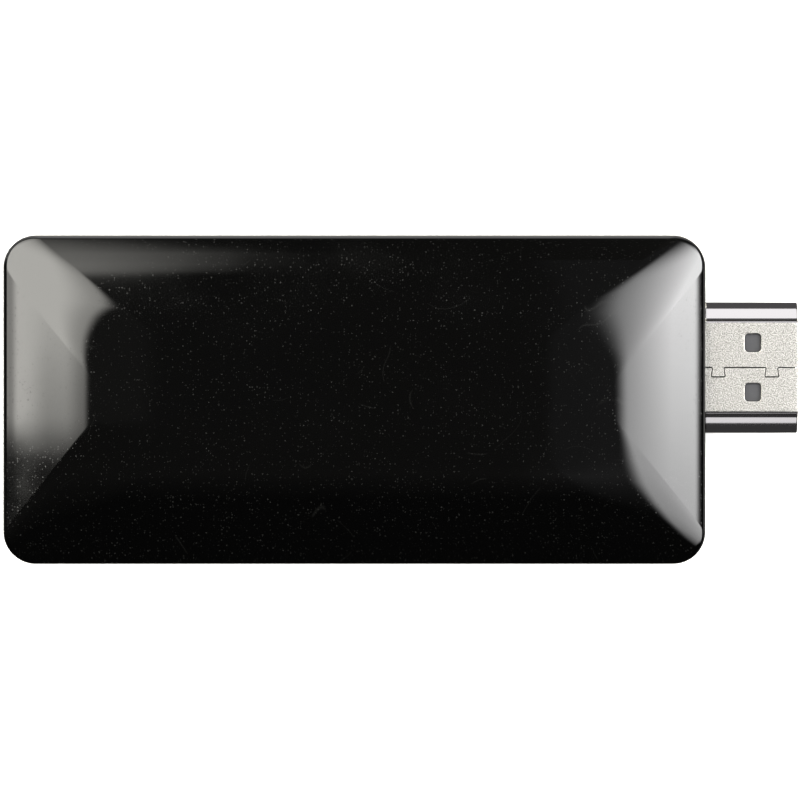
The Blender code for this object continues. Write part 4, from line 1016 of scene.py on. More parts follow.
def hairlines(tree, where, spacing, width, rarity):
    """A mask of short curved hairlines: broken contour lines of a slow noise."""
    slow = add(tree, "ShaderNodeTexNoise", {"Vector": where, "Scale": cells_of(spacing), "Detail": 1.0})
    offset = add(tree, "ShaderNodeMath", {0: slow.outputs["Fac"], 1: 0.5}, operation="SUBTRACT")
    away = add(tree, "ShaderNodeMath", {0: offset.outputs[0]}, operation="ABSOLUTE")
    line = add(tree, "ShaderNodeMapRange", {
        "Value": away.outputs[0], "From Min": 0.0, "From Max": width / spacing, "To Min": 1.0, "To Max": 0.0})
    breaks = add(tree, "ShaderNodeTexNoise", {"Vector": where, "Scale": cells_of(spacing / 3), "Detail": 0.0})
    kept = add(tree, "ShaderNodeMapRange", {
        "Value": breaks.outputs["Fac"], "From Min": rarity, "From Max": rarity + 0.04, "To Min": 0.0,
        "To Max": 1.0})
    both = add(tree, "ShaderNodeMath", {0: line.outputs[0], 1: kept.outputs[0]}, operation="MULTIPLY")
    return both.outputs[0]


def moulded_gloss_abs(colours):
    """ABS moulded in a mirror-polished tool: deep black under a clear shine with a trace of orange
    peel, and on it the dust, smears and hairlines that such a gloss always gathers."""
    finish, tree, shader, where = start_finish("moulded_gloss_abs", colours.gloss_black, 0.06, ior=1.53)
    # Real dust is near 0.05 mm. Its grains are drawn up to 0.2 mm, the finest that shows.
    fine, level_fine = specks(tree, where, 0.27, 0.2, 0.9)
    large, level_large = specks(tree, where, 1.1, 0.22, 0.3)
    fibres = hairlines(tree, where, 11.0, 0.035, 0.62)
    faint = add(tree, "ShaderNodeMath", {0: fine, 1: level_fine}, operation="MULTIPLY")
    fainter = add(tree, "ShaderNodeMath", {0: faint.outputs[0], 1: 0.32}, operation="MULTIPLY")
    some = add(tree, "ShaderNodeMath", {0: large, 1: level_large}, operation="MULTIPLY")
    half = add(tree, "ShaderNodeMath", {0: some.outputs[0], 1: 0.6}, operation="MULTIPLY")
    bits = add(tree, "ShaderNodeMath", {0: fainter.outputs[0], 1: half.outputs[0]}, operation="MAXIMUM")
    thin = add(tree, "ShaderNodeMath", {0: fibres, 1: 0.1}, operation="MULTIPLY")
    grime = add(tree, "ShaderNodeMath", {0: bits.outputs[0], 1: thin.outputs[0]}, operation="MAXIMUM")
    dirt = add(tree, "ShaderNodeMath", {0: grime.outputs[0], 1: 0.6}, operation="MULTIPLY")
    tone = add(tree, "ShaderNodeMix", {0: dirt.outputs[0], 6: (*colours.gloss_black, 1.0),
                                       7: (*colours.dust, 1.0)}, data_type="RGBA")
    tree.links.new(tone.outputs[2], shader.inputs["Base Color"])
    smears = add(tree, "ShaderNodeTexNoise", {"Vector": where, "Scale": cells_of(9.0), "Detail": 3.0})
    haze = add(tree, "ShaderNodeMapRange", {
        "Value": smears.outputs["Fac"], "From Min": 0.35, "From Max": 0.7, "To Min": 0.035, "To Max": 0.08})
    rough = add(tree, "ShaderNodeMix", {0: dirt.outputs[0], 2: haze.outputs[0], 3: 0.85})
    tree.links.new(rough.outputs[0], shader.inputs["Roughness"])
    peel = add(tree, "ShaderNodeTexNoise", {"Vector": where, "Scale": cells_of(3.5), "Detail": 0.0})
    bump = add(tree, "ShaderNodeBump", {"Height": peel.outputs["Fac"], "Distance": 0.0012 * MM})
    tree.links.new(bump.outputs[0], shader.inputs["Normal"])
    return finish


def moulded_base_abs(colours):
    """The same ABS on the tray: gloss walls, and an underside from a spark-eroded tool, whose fine
    even pits scatter the light to a soft dark grey."""
    finish, tree, shader, where = start_finish("moulded_base_abs", colours.gloss_black, 0.08, ior=1.53)
    height = add(tree, "ShaderNodeSeparateXYZ", {"Vector": where})
    under = add(tree, "ShaderNodeMapRange", {
        "Value": height.outputs["Z"], "From Min": 0.03 * MM, "From Max": 0.1 * MM, "To Min": 1.0,
        "To Max": 0.0})
    rough = add(tree, "ShaderNodeMix", {0: under.outputs[0], 2: 0.07, 3: 0.5})
    tree.links.new(rough.outputs[0], shader.inputs["Roughness"])
    pits = add(tree, "ShaderNodeTexNoise", {"Vector": where, "Scale": cells_of(0.22), "Detail": 2.0})
    depth = add(tree, "ShaderNodeMath", {0: pits.outputs["Fac"], 1: under.outputs[0]}, operation="MULTIPLY")
    bump = add(tree, "ShaderNodeBump", {"Height": depth.outputs[0], "Distance": 0.03 * MM})
    tree.links.new(bump.outputs[0], shader.inputs["Normal"])
    tone = add(tree, "ShaderNodeMix", {0: under.outputs[0], 6: (*colours.gloss_black, 1.0),
                                       7: (*colours.button_black, 1.0)}, data_type="RGBA")
    tree.links.new(tone.outputs[2], shader.inputs["Base Color"])
    return finish


def matte_abs(colours):
    """ABS moulded in a lightly etched tool: a soft satin black with a fine, even grain."""
    finish, tree, shader, where = start_finish("matte_abs", colours.button_black, 0.42, ior=1.53)
    grain = add(tree, "ShaderNodeTexNoise", {"Vector": where, "Scale": cells_of(0.12), "Detail": 2.0})
    bump = add(tree, "ShaderNodeBump", {"Height": grain.outputs["Fac"], "Distance": 0.012 * MM})
    tree.links.new(bump.outputs[0], shader.inputs["Normal"])
    worn = add(tree, "ShaderNodeMapRange", {
        "Value": grain.outputs["Fac"], "From Min": 0.3, "From Max": 0.7, "To Min": 0.36, "To Max": 0.5})
    tree.links.new(worn.outputs[0], shader.inputs["Roughness"])
    return finish


def satin_nickel_plate(colours, name, low, high):
    """Nickel plate over stamped steel sheet: bright and smooth where the sheet is bent, and frosted by
    blasting on the flat faces, which lie at the two heights. On those faces the grains' glitter is painted
    into the colour as dark and pale specks: painted glints and shade, over the grain's real relief."""
    finish, tree, shader, where = start_finish(name, colours.nickel, 0.1, metallic=1.0)
    height = add(tree, "ShaderNodeSeparateXYZ", {"Vector": where})
    away = add(tree, "ShaderNodeMath", {0: height.outputs["Z"], 1: (low + high) / 2}, operation="SUBTRACT")
    either = add(tree, "ShaderNodeMath", {0: away.outputs[0]}, operation="ABSOLUTE")
    half = (high - low) / 2
    frosted = add(tree, "ShaderNodeMapRange", {
        "Value": either.outputs[0], "From Min": half - 0.06 * MM, "From Max": half - 0.01 * MM,
        "To Min": 0.0, "To Max": 1.0})
    # Real blasting grain is near 0.05 mm. It is drawn at 0.12 mm, the finest that shows.
    grain = add(tree, "ShaderNodeTexNoise", {"Vector": where, "Scale": cells_of(0.12), "Detail": 1.0})
    contrast = add(tree, "ShaderNodeMapRange", {
        "Value": grain.outputs["Fac"], "From Min": 0.32, "From Max": 0.68, "To Min": 0.0, "To Max": 1.0})
    relief = add(tree, "ShaderNodeMath", {0: contrast.outputs[0], 1: frosted.outputs[0]},
                 operation="MULTIPLY")
    bump = add(tree, "ShaderNodeBump", {"Height": relief.outputs[0], "Distance": 0.008 * MM})
    tree.links.new(bump.outputs[0], shader.inputs["Normal"])
    rough = add(tree, "ShaderNodeMix", {0: frosted.outputs[0], 2: 0.07, 3: 0.36})
    tree.links.new(rough.outputs[0], shader.inputs["Roughness"])
    # Painted glints and shade: each grain of the flat faces is painted darker or paler, in place of the light
    # its facets catch.
    dark = [0.34 * channel for channel in colours.nickel]
    pale = [0.9 * channel for channel in colours.nickel]
    painted_glints = add(tree, "ShaderNodeMix", {0: contrast.outputs[0], 6: (*dark, 1.0), 7: (*pale, 1.0)},
                data_type="RGBA")
    tone = add(tree, "ShaderNodeMix", {0: frosted.outputs[0], 6: (*colours.nickel, 1.0),
                                       7: painted_glints.outputs[2]}, data_type="RGBA")
    tree.links.new(tone.outputs[2], shader.inputs["Base Color"])
    return finish


def rolled_gold_flash(colours):
    """Gold flash over rolled phosphor bronze strip: a warm bright metal with fine rolling lines."""
    finish, tree, shader, where = start_finish("rolled_gold_flash", colours.gold, 0.22, metallic=1.0)
    # Rolling lines run along the strip, so the pattern is stretched 20 times that way.
    along = add(tree, "ShaderNodeMapping", {"Vector": where, "Scale": (0.05, 1.0, 1.0)})
    lines = add(tree, "ShaderNodeTexNoise", {
        "Vector": along.outputs[0], "Scale": cells_of(0.05), "Detail": 2.0})
    rough = add(tree, "ShaderNodeMapRange", {
        "Value": lines.outputs["Fac"], "From Min": 0.3, "From Max": 0.7, "To Min": 0.16, "To Max": 0.32})
    tree.links.new(rough.outputs[0], shader.inputs["Roughness"])
    bump = add(tree, "ShaderNodeBump", {"Height": lines.outputs["Fac"], "Distance": 0.003 * MM})
    tree.links.new(bump.outputs[0], shader.inputs["Normal"])
    return finish


def moulded_lcp(colours):
    """Glass-filled LCP, moulded: a dull charcoal plastic with faint flow marks."""
    finish, tree, shader, where = start_finish("moulded_lcp", colours.moulding, 0.5, ior=1.62)
    # Fibres at the skin trap part of its shine.
    shader.inputs["Specular IOR Level"].default_value = 0.3
    flow = add(tree, "ShaderNodeMapping", {"Vector": where, "Scale": (0.3, 1.0, 1.0)})
    marks = add(tree, "ShaderNodeTexNoise", {
        "Vector": flow.outputs[0], "Scale": cells_of(0.5), "Detail": 4.0})
    lighter = [1.5 * channel for channel in colours.moulding]
    tone = add(tree, "ShaderNodeMix", {0: marks.outputs["Fac"], 6: (*colours.moulding, 1.0),
                                       7: (*lighter, 1.0)}, data_type="RGBA")
    tree.links.new(tone.outputs[2], shader.inputs["Base Color"])
    bump = add(tree, "ShaderNodeBump", {"Height": marks.outputs["Fac"], "Distance": 0.01 * MM})
    tree.links.new(bump.outputs[0], shader.inputs["Normal"])
    return finish


def moulded_acrylic(colours):
    """Acrylic, moulded clear with a polished lens: it passes light and shows a faint inner haze."""
    finish, tree, shader, where = start_finish("moulded_acrylic", colours.light_guide, 0.06, ior=1.49)
    shader.inputs["Transmission Weight"].default_value = 0.85
    haze = add(tree, "ShaderNodeTexNoise", {"Vector": where, "Scale": cells_of(0.6), "Detail": 2.0})
    rough = add(tree, "ShaderNodeMapRange", {
        "Value": haze.outputs["Fac"], "From Min": 0.3, "From Max": 0.7, "To Min": 0.04, "To Max": 0.16})
    tree.links.new(rough.outputs[0], shader.inputs["Roughness"])
    return finish


def brushed_polyester_film(colours):
    """Silver polyester film, brushed: a dull sheen drawn into fine lines along the label."""
    finish, tree, shader, where = start_finish("brushed_polyester_film", colours.label, 0.38, ior=1.57)
    shader.inputs["Metallic"].default_value = 0.6
    along = add(tree, "ShaderNodeMapping", {"Vector": where, "Scale": (0.03, 1.0, 1.0)})
    # Real brushing is near 0.02 mm. It is drawn at 0.07 mm, so that it shows.
    lines = add(tree, "ShaderNodeTexNoise", {
        "Vector": along.outputs[0], "Scale": cells_of(0.07), "Detail": 3.0})
    rough = add(tree, "ShaderNodeMapRange", {
        "Value": lines.outputs["Fac"], "From Min": 0.3, "From Max": 0.7, "To Min": 0.3, "To Max": 0.48})
    tree.links.new(rough.outputs[0], shader.inputs["Roughness"])
    bump = add(tree, "ShaderNodeBump", {"Height": lines.outputs["Fac"], "Distance": 0.004 * MM})
    tree.links.new(bump.outputs[0], shader.inputs["Normal"])
    return finish


def solder_masked_board(colours):
    """Glass-epoxy board under green solder mask: glossy lacquer over raised copper runs."""
    finish, tree, shader, where = start_finish("solder_masked_board", colours.solder_mask, 0.3, ior=1.52)
    runs = add(tree, "ShaderNodeTexBrick", {
        "Vector": where, "Scale": cells_of(1.0), "Mortar Size": 0.08, "Brick Width": 3.5, "Row Height": 0.5})
    lighter = [1.8 * channel for channel in colours.solder_mask]
    tone = add(tree, "ShaderNodeMix", {0: runs.outputs["Fac"], 6: (*colours.solder_mask, 1.0),
                                       7: (*lighter, 1.0)}, data_type="RGBA")
    tree.links.new(tone.outputs[2], shader.inputs["Base Color"])
    bump = add(tree, "ShaderNodeBump", {"Height": runs.outputs["Fac"], "Distance": 0.03 * MM})
    tree.links.new(bump.outputs[0], shader.inputs["Normal"])
    return finish


def grained(name, base, roughness, grain, depth, metallic=0.0, ior=1.5, stretch=(1.0, 1.0, 1.0)):
    """A finish whose tone, shine and relief all follow one grain of that size and depth."""
    finish, tree, shader, where = start_finish(name, base, roughness, metallic, ior)
    along = add(tree, "ShaderNodeMapping", {"Vector": where, "Scale": stretch})
    noise = add(tree, "ShaderNodeTexNoise", {
        "Vector": along.outputs[0], "Scale": cells_of(grain), "Detail": 3.0})
    darker = [0.7 * channel for channel in base]
    tone = add(tree, "ShaderNodeMix", {0: noise.outputs["Fac"], 6: (*darker, 1.0), 7: (*base, 1.0)},
               data_type="RGBA")
    tree.links.new(tone.outputs[2], shader.inputs["Base Color"])
    rough = add(tree, "ShaderNodeMapRange", {
        "Value": noise.outputs["Fac"], "From Min": 0.3, "From Max": 0.7, "To Min": 0.85 * roughness,
        "To Max": 1.15 * roughness})
    tree.links.new(rough.outputs[0], shader.inputs["Roughness"])
    bump = add(tree, "ShaderNodeBump", {"Height": noise.outputs["Fac"], "Distance": depth * MM})
    tree.links.new(bump.outputs[0], shader.inputs["Normal"])
    return finish


def inner_finishes(colours):
    """Finishes of the pieces inside the case, by the CAD nodes that carry them."""
    # Epoxy moulding compound from a matt tool: flat black with a fine even grain.
    epoxy = grained("moulded_epoxy", linear("1E1E20"), 0.55, 0.06, 0.006, ior=1.55)
    # Pressed and sintered ferrite: a dark dull ceramic with coarse grains.
    ferrite = grained("sintered_ferrite", linear("4A4A4C"), 0.6, 0.12, 0.012, ior=1.7)
    # Yellow epoxy case of a tantalum capacitor, moulded: smooth and slightly waxy.
    tantalum = grained("moulded_tantalum_case", linear("D9A441"), 0.42, 0.3, 0.005, ior=1.55)
    # Extruded aluminium, left as drawn: bright die lines along the fins.
    aluminium = grained("extruded_aluminium", linear("C9CACC"), 0.36, 0.08, 0.006, 1.0, stretch=(0.04, 1, 1))
    # Ceramic-filled silicone pad, calendered: soft, dull and slightly mottled.
    silicone = grained("calendered_silicone", linear("9AA6B0"), 0.8, 0.25, 0.01, ior=1.43)
    # Zinc-plated steel, cold headed: a cool bright metal with a faint blue haze.
    zinc = grained("zinc_plated_steel", linear("9DA0A6"), 0.3, 0.15, 0.004, 1.0)
    # Nickel silver, stamped and tin plated: a pale metal with soft drawing lines.
    tin = grained("stamped_nickel_silver", linear("BDBDB8"), 0.3, 0.1, 0.003, 1.0, stretch=(1, 0.1, 1))
    # Polyimide film over copper, laminated: amber gloss.
    polyimide = grained("laminated_polyimide", linear("B5762A"), 0.32, 0.4, 0.004, ior=1.7)
    # Fluoropolymer jacket, extruded: a smooth dark tube.
    jacket = grained("extruded_fluoropolymer", linear("2B2B2D"), 0.4, 0.1, 0.003, ior=1.35)
    # Cast silicone over an LED's phosphor: a pale yellow, slightly milky block.
    phosphor = grained("cast_led_phosphor", linear("EBDD9C"), 0.3, 0.15, 0.003, ior=1.41)
    board = solder_masked_board(colours)
    lcp, button = moulded_lcp(colours), matte_abs(colours)
    gold = rolled_gold_flash(colours)
    return {
        "main_board": board, "radio_board": board, "processor": epoxy, "memory_chip_1": epoxy,
        "memory_chip_2": epoxy, "flash_chip": epoxy, "power_chip": epoxy, "inductor_1": ferrite,
        "inductor_2": ferrite, "bulk_capacitor_1": tantalum, "bulk_capacitor_2": tantalum,
        "clock_crystal": tin, "radio_can": tin, "thermal_pad": silicone, "heat_sink": aluminium,
        "board_screw_1": zinc, "board_screw_2": zinc, "antenna_flex": polyimide,
        "antenna_lead": jacket, "antenna_plug": gold, "status_led": phosphor,
        "switch_housing": lcp, "switch_plunger": button,
    }


# ------------------------------------------------------------------ the stage

def ramp(value, start, end):
    """A smooth rise from 0 at the start to 1 at the end."""
    t = max(0.0, min(1.0, (value - start) / (end - start)))
    return t * t * (3 - 2 * t)


def along(points, at):
    """The value at one place of a broken line through (place, value) points."""
    for (start, low), (end, high) in zip(points, points[1:]):
        if at <= end:
            return low + (high - low) * max(0.0, (at - start) / (end - start))
    return points[-1][1]


def glowing_sheet(name, columns, rows, place, glow, tint):
    """A sheet that lights the scene but isn't seen by the camera. place gives the point, and glow
    the brightness, at each (column, row)."""
    spots = [(column, row) for row in rows for column in columns]
    levels = [glow(*spot) for spot in spots]

    def build(bm):
        points = [bm.verts.new(place(*spot)) for spot in spots]
        width = len(columns)
        for j in range(len(rows) - 1):
            for i in range(width - 1):
                a = j * width + i
                bm.faces.new((points[a], points[a + 1], points[a + width + 1], points[a + width]))
    finish = bpy.data.materials.get(name) or bpy.data.materials.new(name)
    finish.use_nodes = True
    tree = finish.node_tree
    tree.nodes.clear()
    level_of = add(tree, "ShaderNodeAttribute", attribute_name="glow")
    lit = add(tree, "ShaderNodeEmission", {"Color": (*tint, 1.0), "Strength": level_of.outputs["Fac"]})
    add(tree, "ShaderNodeOutputMaterial", {"Surface": lit.outputs[0]})
    sheet = new_piece(name, build, finish)
    sheet.data.attributes.new("glow", "FLOAT", "POINT").data.foreach_set("value", levels)
    sheet.visible_camera = False
    sheet.visible_shadow = False
    return sheet


def overhead(across, along_y):
    """A point on the ring of panels 1 m away, by how many degrees it lies from straight up
    towards +X and towards +Y."""
    tilt = math.radians(math.hypot(across, along_y))
    azimuth = math.atan2(along_y, across)
    return (math.sin(tilt) * math.cos(azimuth), math.sin(tilt) * math.sin(azimuth), math.cos(tilt))


def steps_between(start, end, step):
    """Evenly spaced values from the start to the end."""
    count = round((end - start) / step)
    return [start + step * i for i in range(count + 1)]


# Shapes of the soft panels. All places are degrees from straight up, towards +X (across) and
# towards +Y (along_y), except in the low panel, which has an azimuth and a height over the horizon.
# (along_y, how far across the key panel's soft inner edge lies)
KEY_EDGE = ((-26, 34.6), (-20, 26.6), (-15, 21.6), (-10, 17), (-5, 14.6), (0, 13), (4, 9.6), (12, 7.6),
            (22, 6.6), (30, 9.6), (42, 17.6))
# (along_y, how bright the key panel's near half is)
KEY_FADE = ((-26, 0.0), (-20, 0.6), (-15, 0.8), (-10, 0.88), (-5, 1.0))
# (along_y, how far across towards -X the fill panel's soft inner edge lies)
FILL_EDGE = ((0, 14), (5, 12.5), (10, 10.3), (15, 7.2), (20, 6.3), (30, 5.4), (36, 4.9), (41, 3.6),
             (45, 3.2), (52, 3.1), (57, 4.2), (62, 5.5))
# (azimuth, height of the low panel's top)
LOW_TOP = ((-60, 13), (20, 14), (60, 24), (180, 24))
# side, name, heights over the plug's middle between which the card is lit, in mm, share of the
# cards' brightness there, and brightness of the rest
CARDS = ((1, "far_card", 1.95, 4.6, 1.0, 0.14), (-1, "near_card", 2.9, 3.75, 0.77, 0.07))
CARD_REACH = 9.4 * MM
CARD_FOOT = -9.0
CARD_BLUR = 0.05


def build_lights(stage):
    """Soft panels over both ends, a low one at the far side and two small cards by the plug."""
    def key(across, along_y):
        far_half = min(17.0, 3.2 + 0.4 * (across - 9))
        near_half = (5.4 + 0.05 * across) * along(KEY_FADE, along_y)
        level = near_half + (far_half - near_half) * ramp(along_y, -2.5, 2.5)
        edge = along(KEY_EDGE, along_y)
        rim = (1 - ramp(along_y, 24, 46)) * (1 - ramp(across, 58, 61.5))
        lit = stage.key_glow / KEY_FULL * level * ramp(across, edge - 4, edge + 4) * rim
        streak = 0.06 * max(0.0, 1 - abs(along_y + 8) / 3.5)
        return lit + (0.12 + 0.02 * ramp(across, 3, 5)) * ramp(along_y, -22, -7) + streak

    def fill(across, along_y):
        edge, out = along(FILL_EDGE, along_y), -across
        inner = 0.5 * ramp(out, edge - 1.5, edge + 2) + 0.5 * ramp(out, edge, edge + 14)
        dip = 0.45 * (1 - ramp(along_y, -0.5, 1.8)) * (1 - ramp(out, 36, 54))
        rim = (1 - 0.55 * ramp(out, 56, 61)) * (1 - ramp(out, 63, 67)) * (1 - 0.5 * ramp(along_y, 32, 56))
        lit = stage.fill_glow * inner * (1 - dip) * rim * ramp(along_y, -0.8, -0.2)
        return lit + 0.048 + 0.05 * ramp(out, 3.2, 3.8)

    def low(azimuth, height):
        inside = ramp(azimuth, -50, -25) * (1 - ramp(azimuth, 150, 172))
        top = along(LOW_TOP, azimuth)
        far_side = 0.45 + 0.55 * ramp(azimuth, 20, 70)
        return stage.low_glow * far_side * inside * (1 - 0.75 * ramp(height, 0, top)) * (
            1 - ramp(height, top - 3, top + 3))

    def low_place(azimuth, height):
        turn = math.radians(azimuth)
        return overhead((90 - height) * math.cos(turn), (90 - height) * math.sin(turn))

    key_rows = steps_between(-28, -3, 1) + steps_between(-2.5, 2.5, 0.25) + steps_between(3, 48, 1)
    glowing_sheet("key_panel", steps_between(2, 65, 1), key_rows, overhead, key, linear("FFFFFF"))
    fill_rows = steps_between(-1, 2, 0.1) + steps_between(3, 66, 1)
    glowing_sheet("fill_panel", steps_between(-68, -1, 1), fill_rows, overhead, fill, linear("FFFDF6"))
    wash = glowing_sheet("wash_panel", steps_between(-70, 70, 10), steps_between(-70, 0, 10), overhead,
                         lambda across, along_y: stage.wash_glow, linear("FFFFFF"))
    wash.visible_glossy = False
    glowing_sheet("low_panel", steps_between(-55, 175, 5), steps_between(-2, 28, 2), low_place, low,
                  linear("FFFFFF"))
    for card in CARDS:
        build_card(stage, *card)


def build_card(stage, side, name, lit_from, lit_to, share, dark):
    """An upright card beside the plug, that only its metal mirrors: a bright band on a dark ground."""
    rows = (CARD_FOOT, lit_from - CARD_BLUR, lit_from + CARD_BLUR, lit_to - CARD_BLUR, lit_to + CARD_BLUR)
    bright = share * stage.card_glow
    level_at = dict(zip(rows, (dark, dark, bright, bright, dark)))

    def place(x, z):
        return x * MM, PLUG_Y + side * CARD_REACH, PLUG_Z + z * MM

    def glow(x, z):
        return level_at[z]

    card = glowing_sheet(name, steps_between(PLUG_END / MM + 0.2, PLUG_TIP / MM + 6.0, 1.3), rows, place,
                         glow, linear("F7F6FF"))
    card.visible_diffuse = False
    card.visible_transmission = False


def build_floor(stage):
    """A pale sweep under the stick. It isn't seen in the gloss, which mirrors a darker room instead."""
    half, z = 3.0, -0.02 * MM
    finish, tree, shader, where = start_finish("painted_board_floor", stage.floor_colour, 0.8)
    mottle = add(tree, "ShaderNodeTexNoise", {"Vector": where, "Scale": cells_of(40.0), "Detail": 2.0})
    rough = add(tree, "ShaderNodeMapRange", {
        "Value": mottle.outputs["Fac"], "From Min": 0.3, "From Max": 0.7, "To Min": 0.75, "To Max": 0.9})
    tree.links.new(rough.outputs[0], shader.inputs["Roughness"])

    def build(bm):
        bm.faces.new([bm.verts.new((x * half, y * half, z)) for x, y in ((-1, -1), (1, -1), (1, 1), (-1, 1))])
    floor = new_piece("studio_floor", build, finish)
    floor.visible_glossy = False


def build_room():
    """A dim room to mirror, darker towards -Y, behind a background that the camera sees as white."""
    world = bpy.data.worlds.new("studio_room")
    bpy.context.scene.world = world
    world.use_nodes = True
    tree = world.node_tree
    tree.nodes.clear()
    way = add(tree, "ShaderNodeTexCoord").outputs["Generated"]
    parts = add(tree, "ShaderNodeSeparateXYZ", {"Vector": way})
    fall = add(tree, "ShaderNodeMapRange", {
        "Value": parts.outputs["Y"], "From Min": -0.38, "From Max": -0.12, "To Min": 0.0, "To Max": 1.0})
    side = add(tree, "ShaderNodeMapRange", {
        "Value": parts.outputs["X"], "From Min": 0.01, "From Max": 0.045, "To Min": 0.05, "To Max": 0.11})
    plain = add(tree, "ShaderNodeMath", {0: side.outputs[0], 1: fall.outputs[0]}, operation="MULTIPLY")
    shift = add(tree, "ShaderNodeMath", {0: parts.outputs["Y"], 1: 0.14}, operation="ADD")
    off = add(tree, "ShaderNodeMath", {0: shift.outputs[0]}, operation="ABSOLUTE")
    streak = add(tree, "ShaderNodeMapRange", {
        "Value": off.outputs[0], "From Min": 0.0, "From Max": 0.06, "To Min": 0.6, "To Max": 0.0})
    raised = add(tree, "ShaderNodeMath", {0: side.outputs[0], 1: 0.04}, operation="SUBTRACT")
    band = add(tree, "ShaderNodeMath", {0: streak.outputs[0], 1: raised.outputs[0]}, operation="MULTIPLY")
    upper = add(tree, "ShaderNodeMath", {0: plain.outputs[0], 1: band.outputs[0]}, operation="ADD")
    across = add(tree, "ShaderNodeMapRange", {
        "Value": parts.outputs["X"], "From Min": -1.0, "From Max": 1.0, "To Min": 1.6, "To Max": 3.2})
    back = add(tree, "ShaderNodeMapRange", {
        "Value": parts.outputs["Y"], "From Min": -0.5, "From Max": 0.5, "To Min": 0.02, "To Max": 0.8})
    lower = add(tree, "ShaderNodeMath", {0: across.outputs[0], 1: back.outputs[0]}, operation="MULTIPLY")
    below = add(tree, "ShaderNodeMath", {0: parts.outputs["Z"], 1: 0.0}, operation="LESS_THAN")
    strength = add(tree, "ShaderNodeMix", {0: below.outputs[0], 2: upper.outputs[0], 3: lower.outputs[0]})
    dim = add(tree, "ShaderNodeBackground", {
        "Color": (*linear("FFFBF2"), 1.0), "Strength": strength.outputs[0]})
    pale = add(tree, "ShaderNodeBackground", {"Color": (*linear("FFFFFF"), 1.0), "Strength": 1.0})
    seen = add(tree, "ShaderNodeLightPath").outputs["Is Camera Ray"]
    both = add(tree, "ShaderNodeMixShader", {0: seen, 1: dim.outputs[0], 2: pale.outputs[0]})
    add(tree, "ShaderNodeOutputWorld", {"Surface": both.outputs[0]})


CAMERA_OFFSET = (-0.07 * MM, -0.04 * MM)


def build_camera(stage):
    """Straight above the middle of the stick, with +X to the right."""
    old = bpy.data.objects.get("camera")
    if old:
        bpy.data.objects.remove(old)
    data = bpy.data.cameras.new("camera")
    data.lens = stage.lens
    data.clip_start, data.clip_end = 0.01, 50.0
    camera = bpy.data.objects.new("camera", data)
    camera.location = (*CAMERA_OFFSET, stage.camera_height)
    bpy.context.scene.collection.objects.link(camera)
    bpy.context.scene.camera = camera


# ------------------------------------------------------------------ operators

class PLAYER_OT_cover(bpy.types.Operator):
    """Build the domed gloss cover with its snaps, posts and ports"""
    bl_idname = "player.cover"
    bl_label = "Domed cover"

    def execute(self, context):
        scene = context.scene
        build_cover(scene.player_case, scene.player_plug, scene.player_ports, scene.player_under,
                    moulded_gloss_abs(scene.player_colours))
        return {"FINISHED"}


class PLAYER_OT_tray(bpy.types.Operator):
    """Build the base tray with its lip, bosses, vents and label recess"""
    bl_idname = "player.tray"
    bl_label = "Base tray"

    def execute(self, context):
        scene = context.scene
        build_tray(scene.player_case, scene.player_plug, scene.player_ports, scene.player_under,
                   moulded_base_abs(scene.player_colours))
        return {"FINISHED"}


class PLAYER_OT_label(bpy.types.Operator):
    """Build the blank rating label on the underside"""
    bl_idname = "player.label"
    bl_label = "Rating label"

    def execute(self, context):
        scene = context.scene
        build_label(scene.player_under, brushed_polyester_film(scene.player_colours))
        return {"FINISHED"}


class PLAYER_OT_plug(bpy.types.Operator):
    """Build the video plug: its folded shell, its insulator and its 19 contacts"""
    bl_idname = "player.plug"
    bl_label = "Video plug"

    def execute(self, context):
        scene = context.scene
        nickel = satin_nickel_plate(scene.player_colours, "satin_nickel_plate", SHELL_LOW.z, SHELL_HIGH.z)
        build_plug_shell(scene.player_plug, nickel)
        build_plug_core(scene.player_plug, moulded_lcp(scene.player_colours))
        build_plug_contacts(rolled_gold_flash(scene.player_colours))
        return {"FINISHED"}


class PLAYER_OT_socket(bpy.types.Operator):
    """Build the power socket: its shell, its blade and its five contacts"""
    bl_idname = "player.socket"
    bl_label = "Power socket"

    def execute(self, context):
        scene = context.scene
        nickel = satin_nickel_plate(scene.player_colours, "bright_nickel_plate", SOCKET_LOW.z, SOCKET_HIGH.z)
        build_socket_shell(scene.player_ports, nickel)
        build_socket_core(scene.player_ports, moulded_lcp(scene.player_colours))
        build_socket_contacts(rolled_gold_flash(scene.player_colours))
        return {"FINISHED"}


class PLAYER_OT_button(bpy.types.Operator):
    """Build the pairing button's crowned pad and flange"""
    bl_idname = "player.button"
    bl_label = "Pairing button"

    def execute(self, context):
        scene = context.scene
        build_button(scene.player_case, scene.player_ports, matte_abs(scene.player_colours))
        return {"FINISHED"}


class PLAYER_OT_light_pipe(bpy.types.Operator):
    """Build the status light's clear pipe"""
    bl_idname = "player.light_pipe"
    bl_label = "Light pipe"

    def execute(self, context):
        scene = context.scene
        build_light_pipe(scene.player_ports, moulded_acrylic(scene.player_colours))
        return {"FINISHED"}


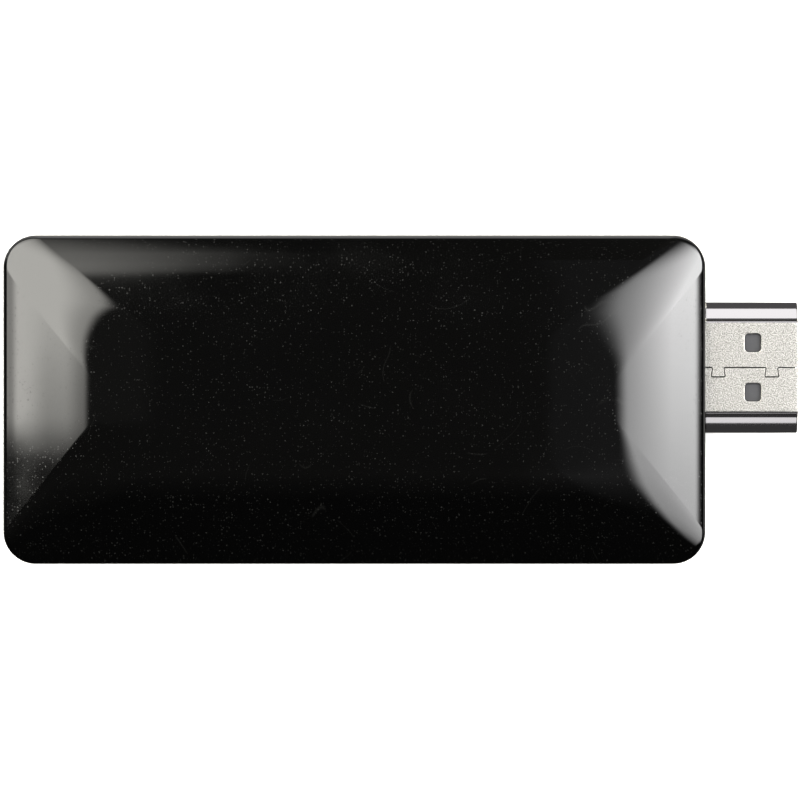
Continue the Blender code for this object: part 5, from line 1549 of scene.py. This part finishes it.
class PLAYER_OT_inner(bpy.types.Operator):
    """Give the boards, chips, cooling and antenna inside the case their finishes"""
    bl_idname = "player.inner"
    bl_label = "Inner pieces"

    def execute(self, context):
        for node, finish in inner_finishes(context.scene.player_colours).items():
            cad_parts[node].material_slots[0].material = finish
        return {"FINISHED"}


class PLAYER_OT_stage(bpy.types.Operator):
    """Set up the pale floor, the soft panels, the room and the camera"""
    bl_idname = "player.stage"
    bl_label = "Stage"

    def execute(self, context):
        stage = context.scene.player_stage
        build_camera(stage)
        build_floor(stage)
        build_lights(stage)
        build_room()
        context.scene.view_settings.view_transform = "Standard"
        return {"FINISHED"}


GROUPS = {
    "player_case": CaseSizes,
    "player_plug": PlugSizes,
    "player_ports": PortSizes,
    "player_under": UndersideSizes,
    "player_colours": FinishColours,
    "player_stage": StageSettings,
}
OPERATORS = (
    PLAYER_OT_stage, PLAYER_OT_cover, PLAYER_OT_tray, PLAYER_OT_label, PLAYER_OT_plug,
    PLAYER_OT_socket, PLAYER_OT_button, PLAYER_OT_light_pipe, PLAYER_OT_inner,
)


class PLAYER_PT_sidebar(bpy.types.Panel):
    """Lists the pieces with a button for each, and every size and colour"""
    bl_idname = "PLAYER_PT_sidebar"
    bl_label = "Media Player"
    bl_space_type = "VIEW_3D"
    bl_region_type = "UI"
    bl_category = "Media Player"

    def draw(self, context):
        for operator in OPERATORS:
            self.layout.operator(operator.bl_idname)
        for name, group in GROUPS.items():
            sizes = getattr(context.scene, name)
            rows = self.layout.box()
            for field in group.__annotations__:
                rows.prop(sizes, field)


CLASSES = (*GROUPS.values(), *OPERATORS, PLAYER_PT_sidebar)


def register():
    for item in CLASSES:
        bpy.utils.register_class(item)
    for name, group in GROUPS.items():
        setattr(bpy.types.Scene, name, PointerProperty(type=group))


def unregister():
    for name in GROUPS:
        delattr(bpy.types.Scene, name)
    for item in reversed(CLASSES):
        bpy.utils.unregister_class(item)


def main():
    register()
    for operator in OPERATORS:
        group, name = operator.bl_idname.split(".")
        getattr(getattr(bpy.ops, group), name)()


if __name__ == "__main__":
    main()
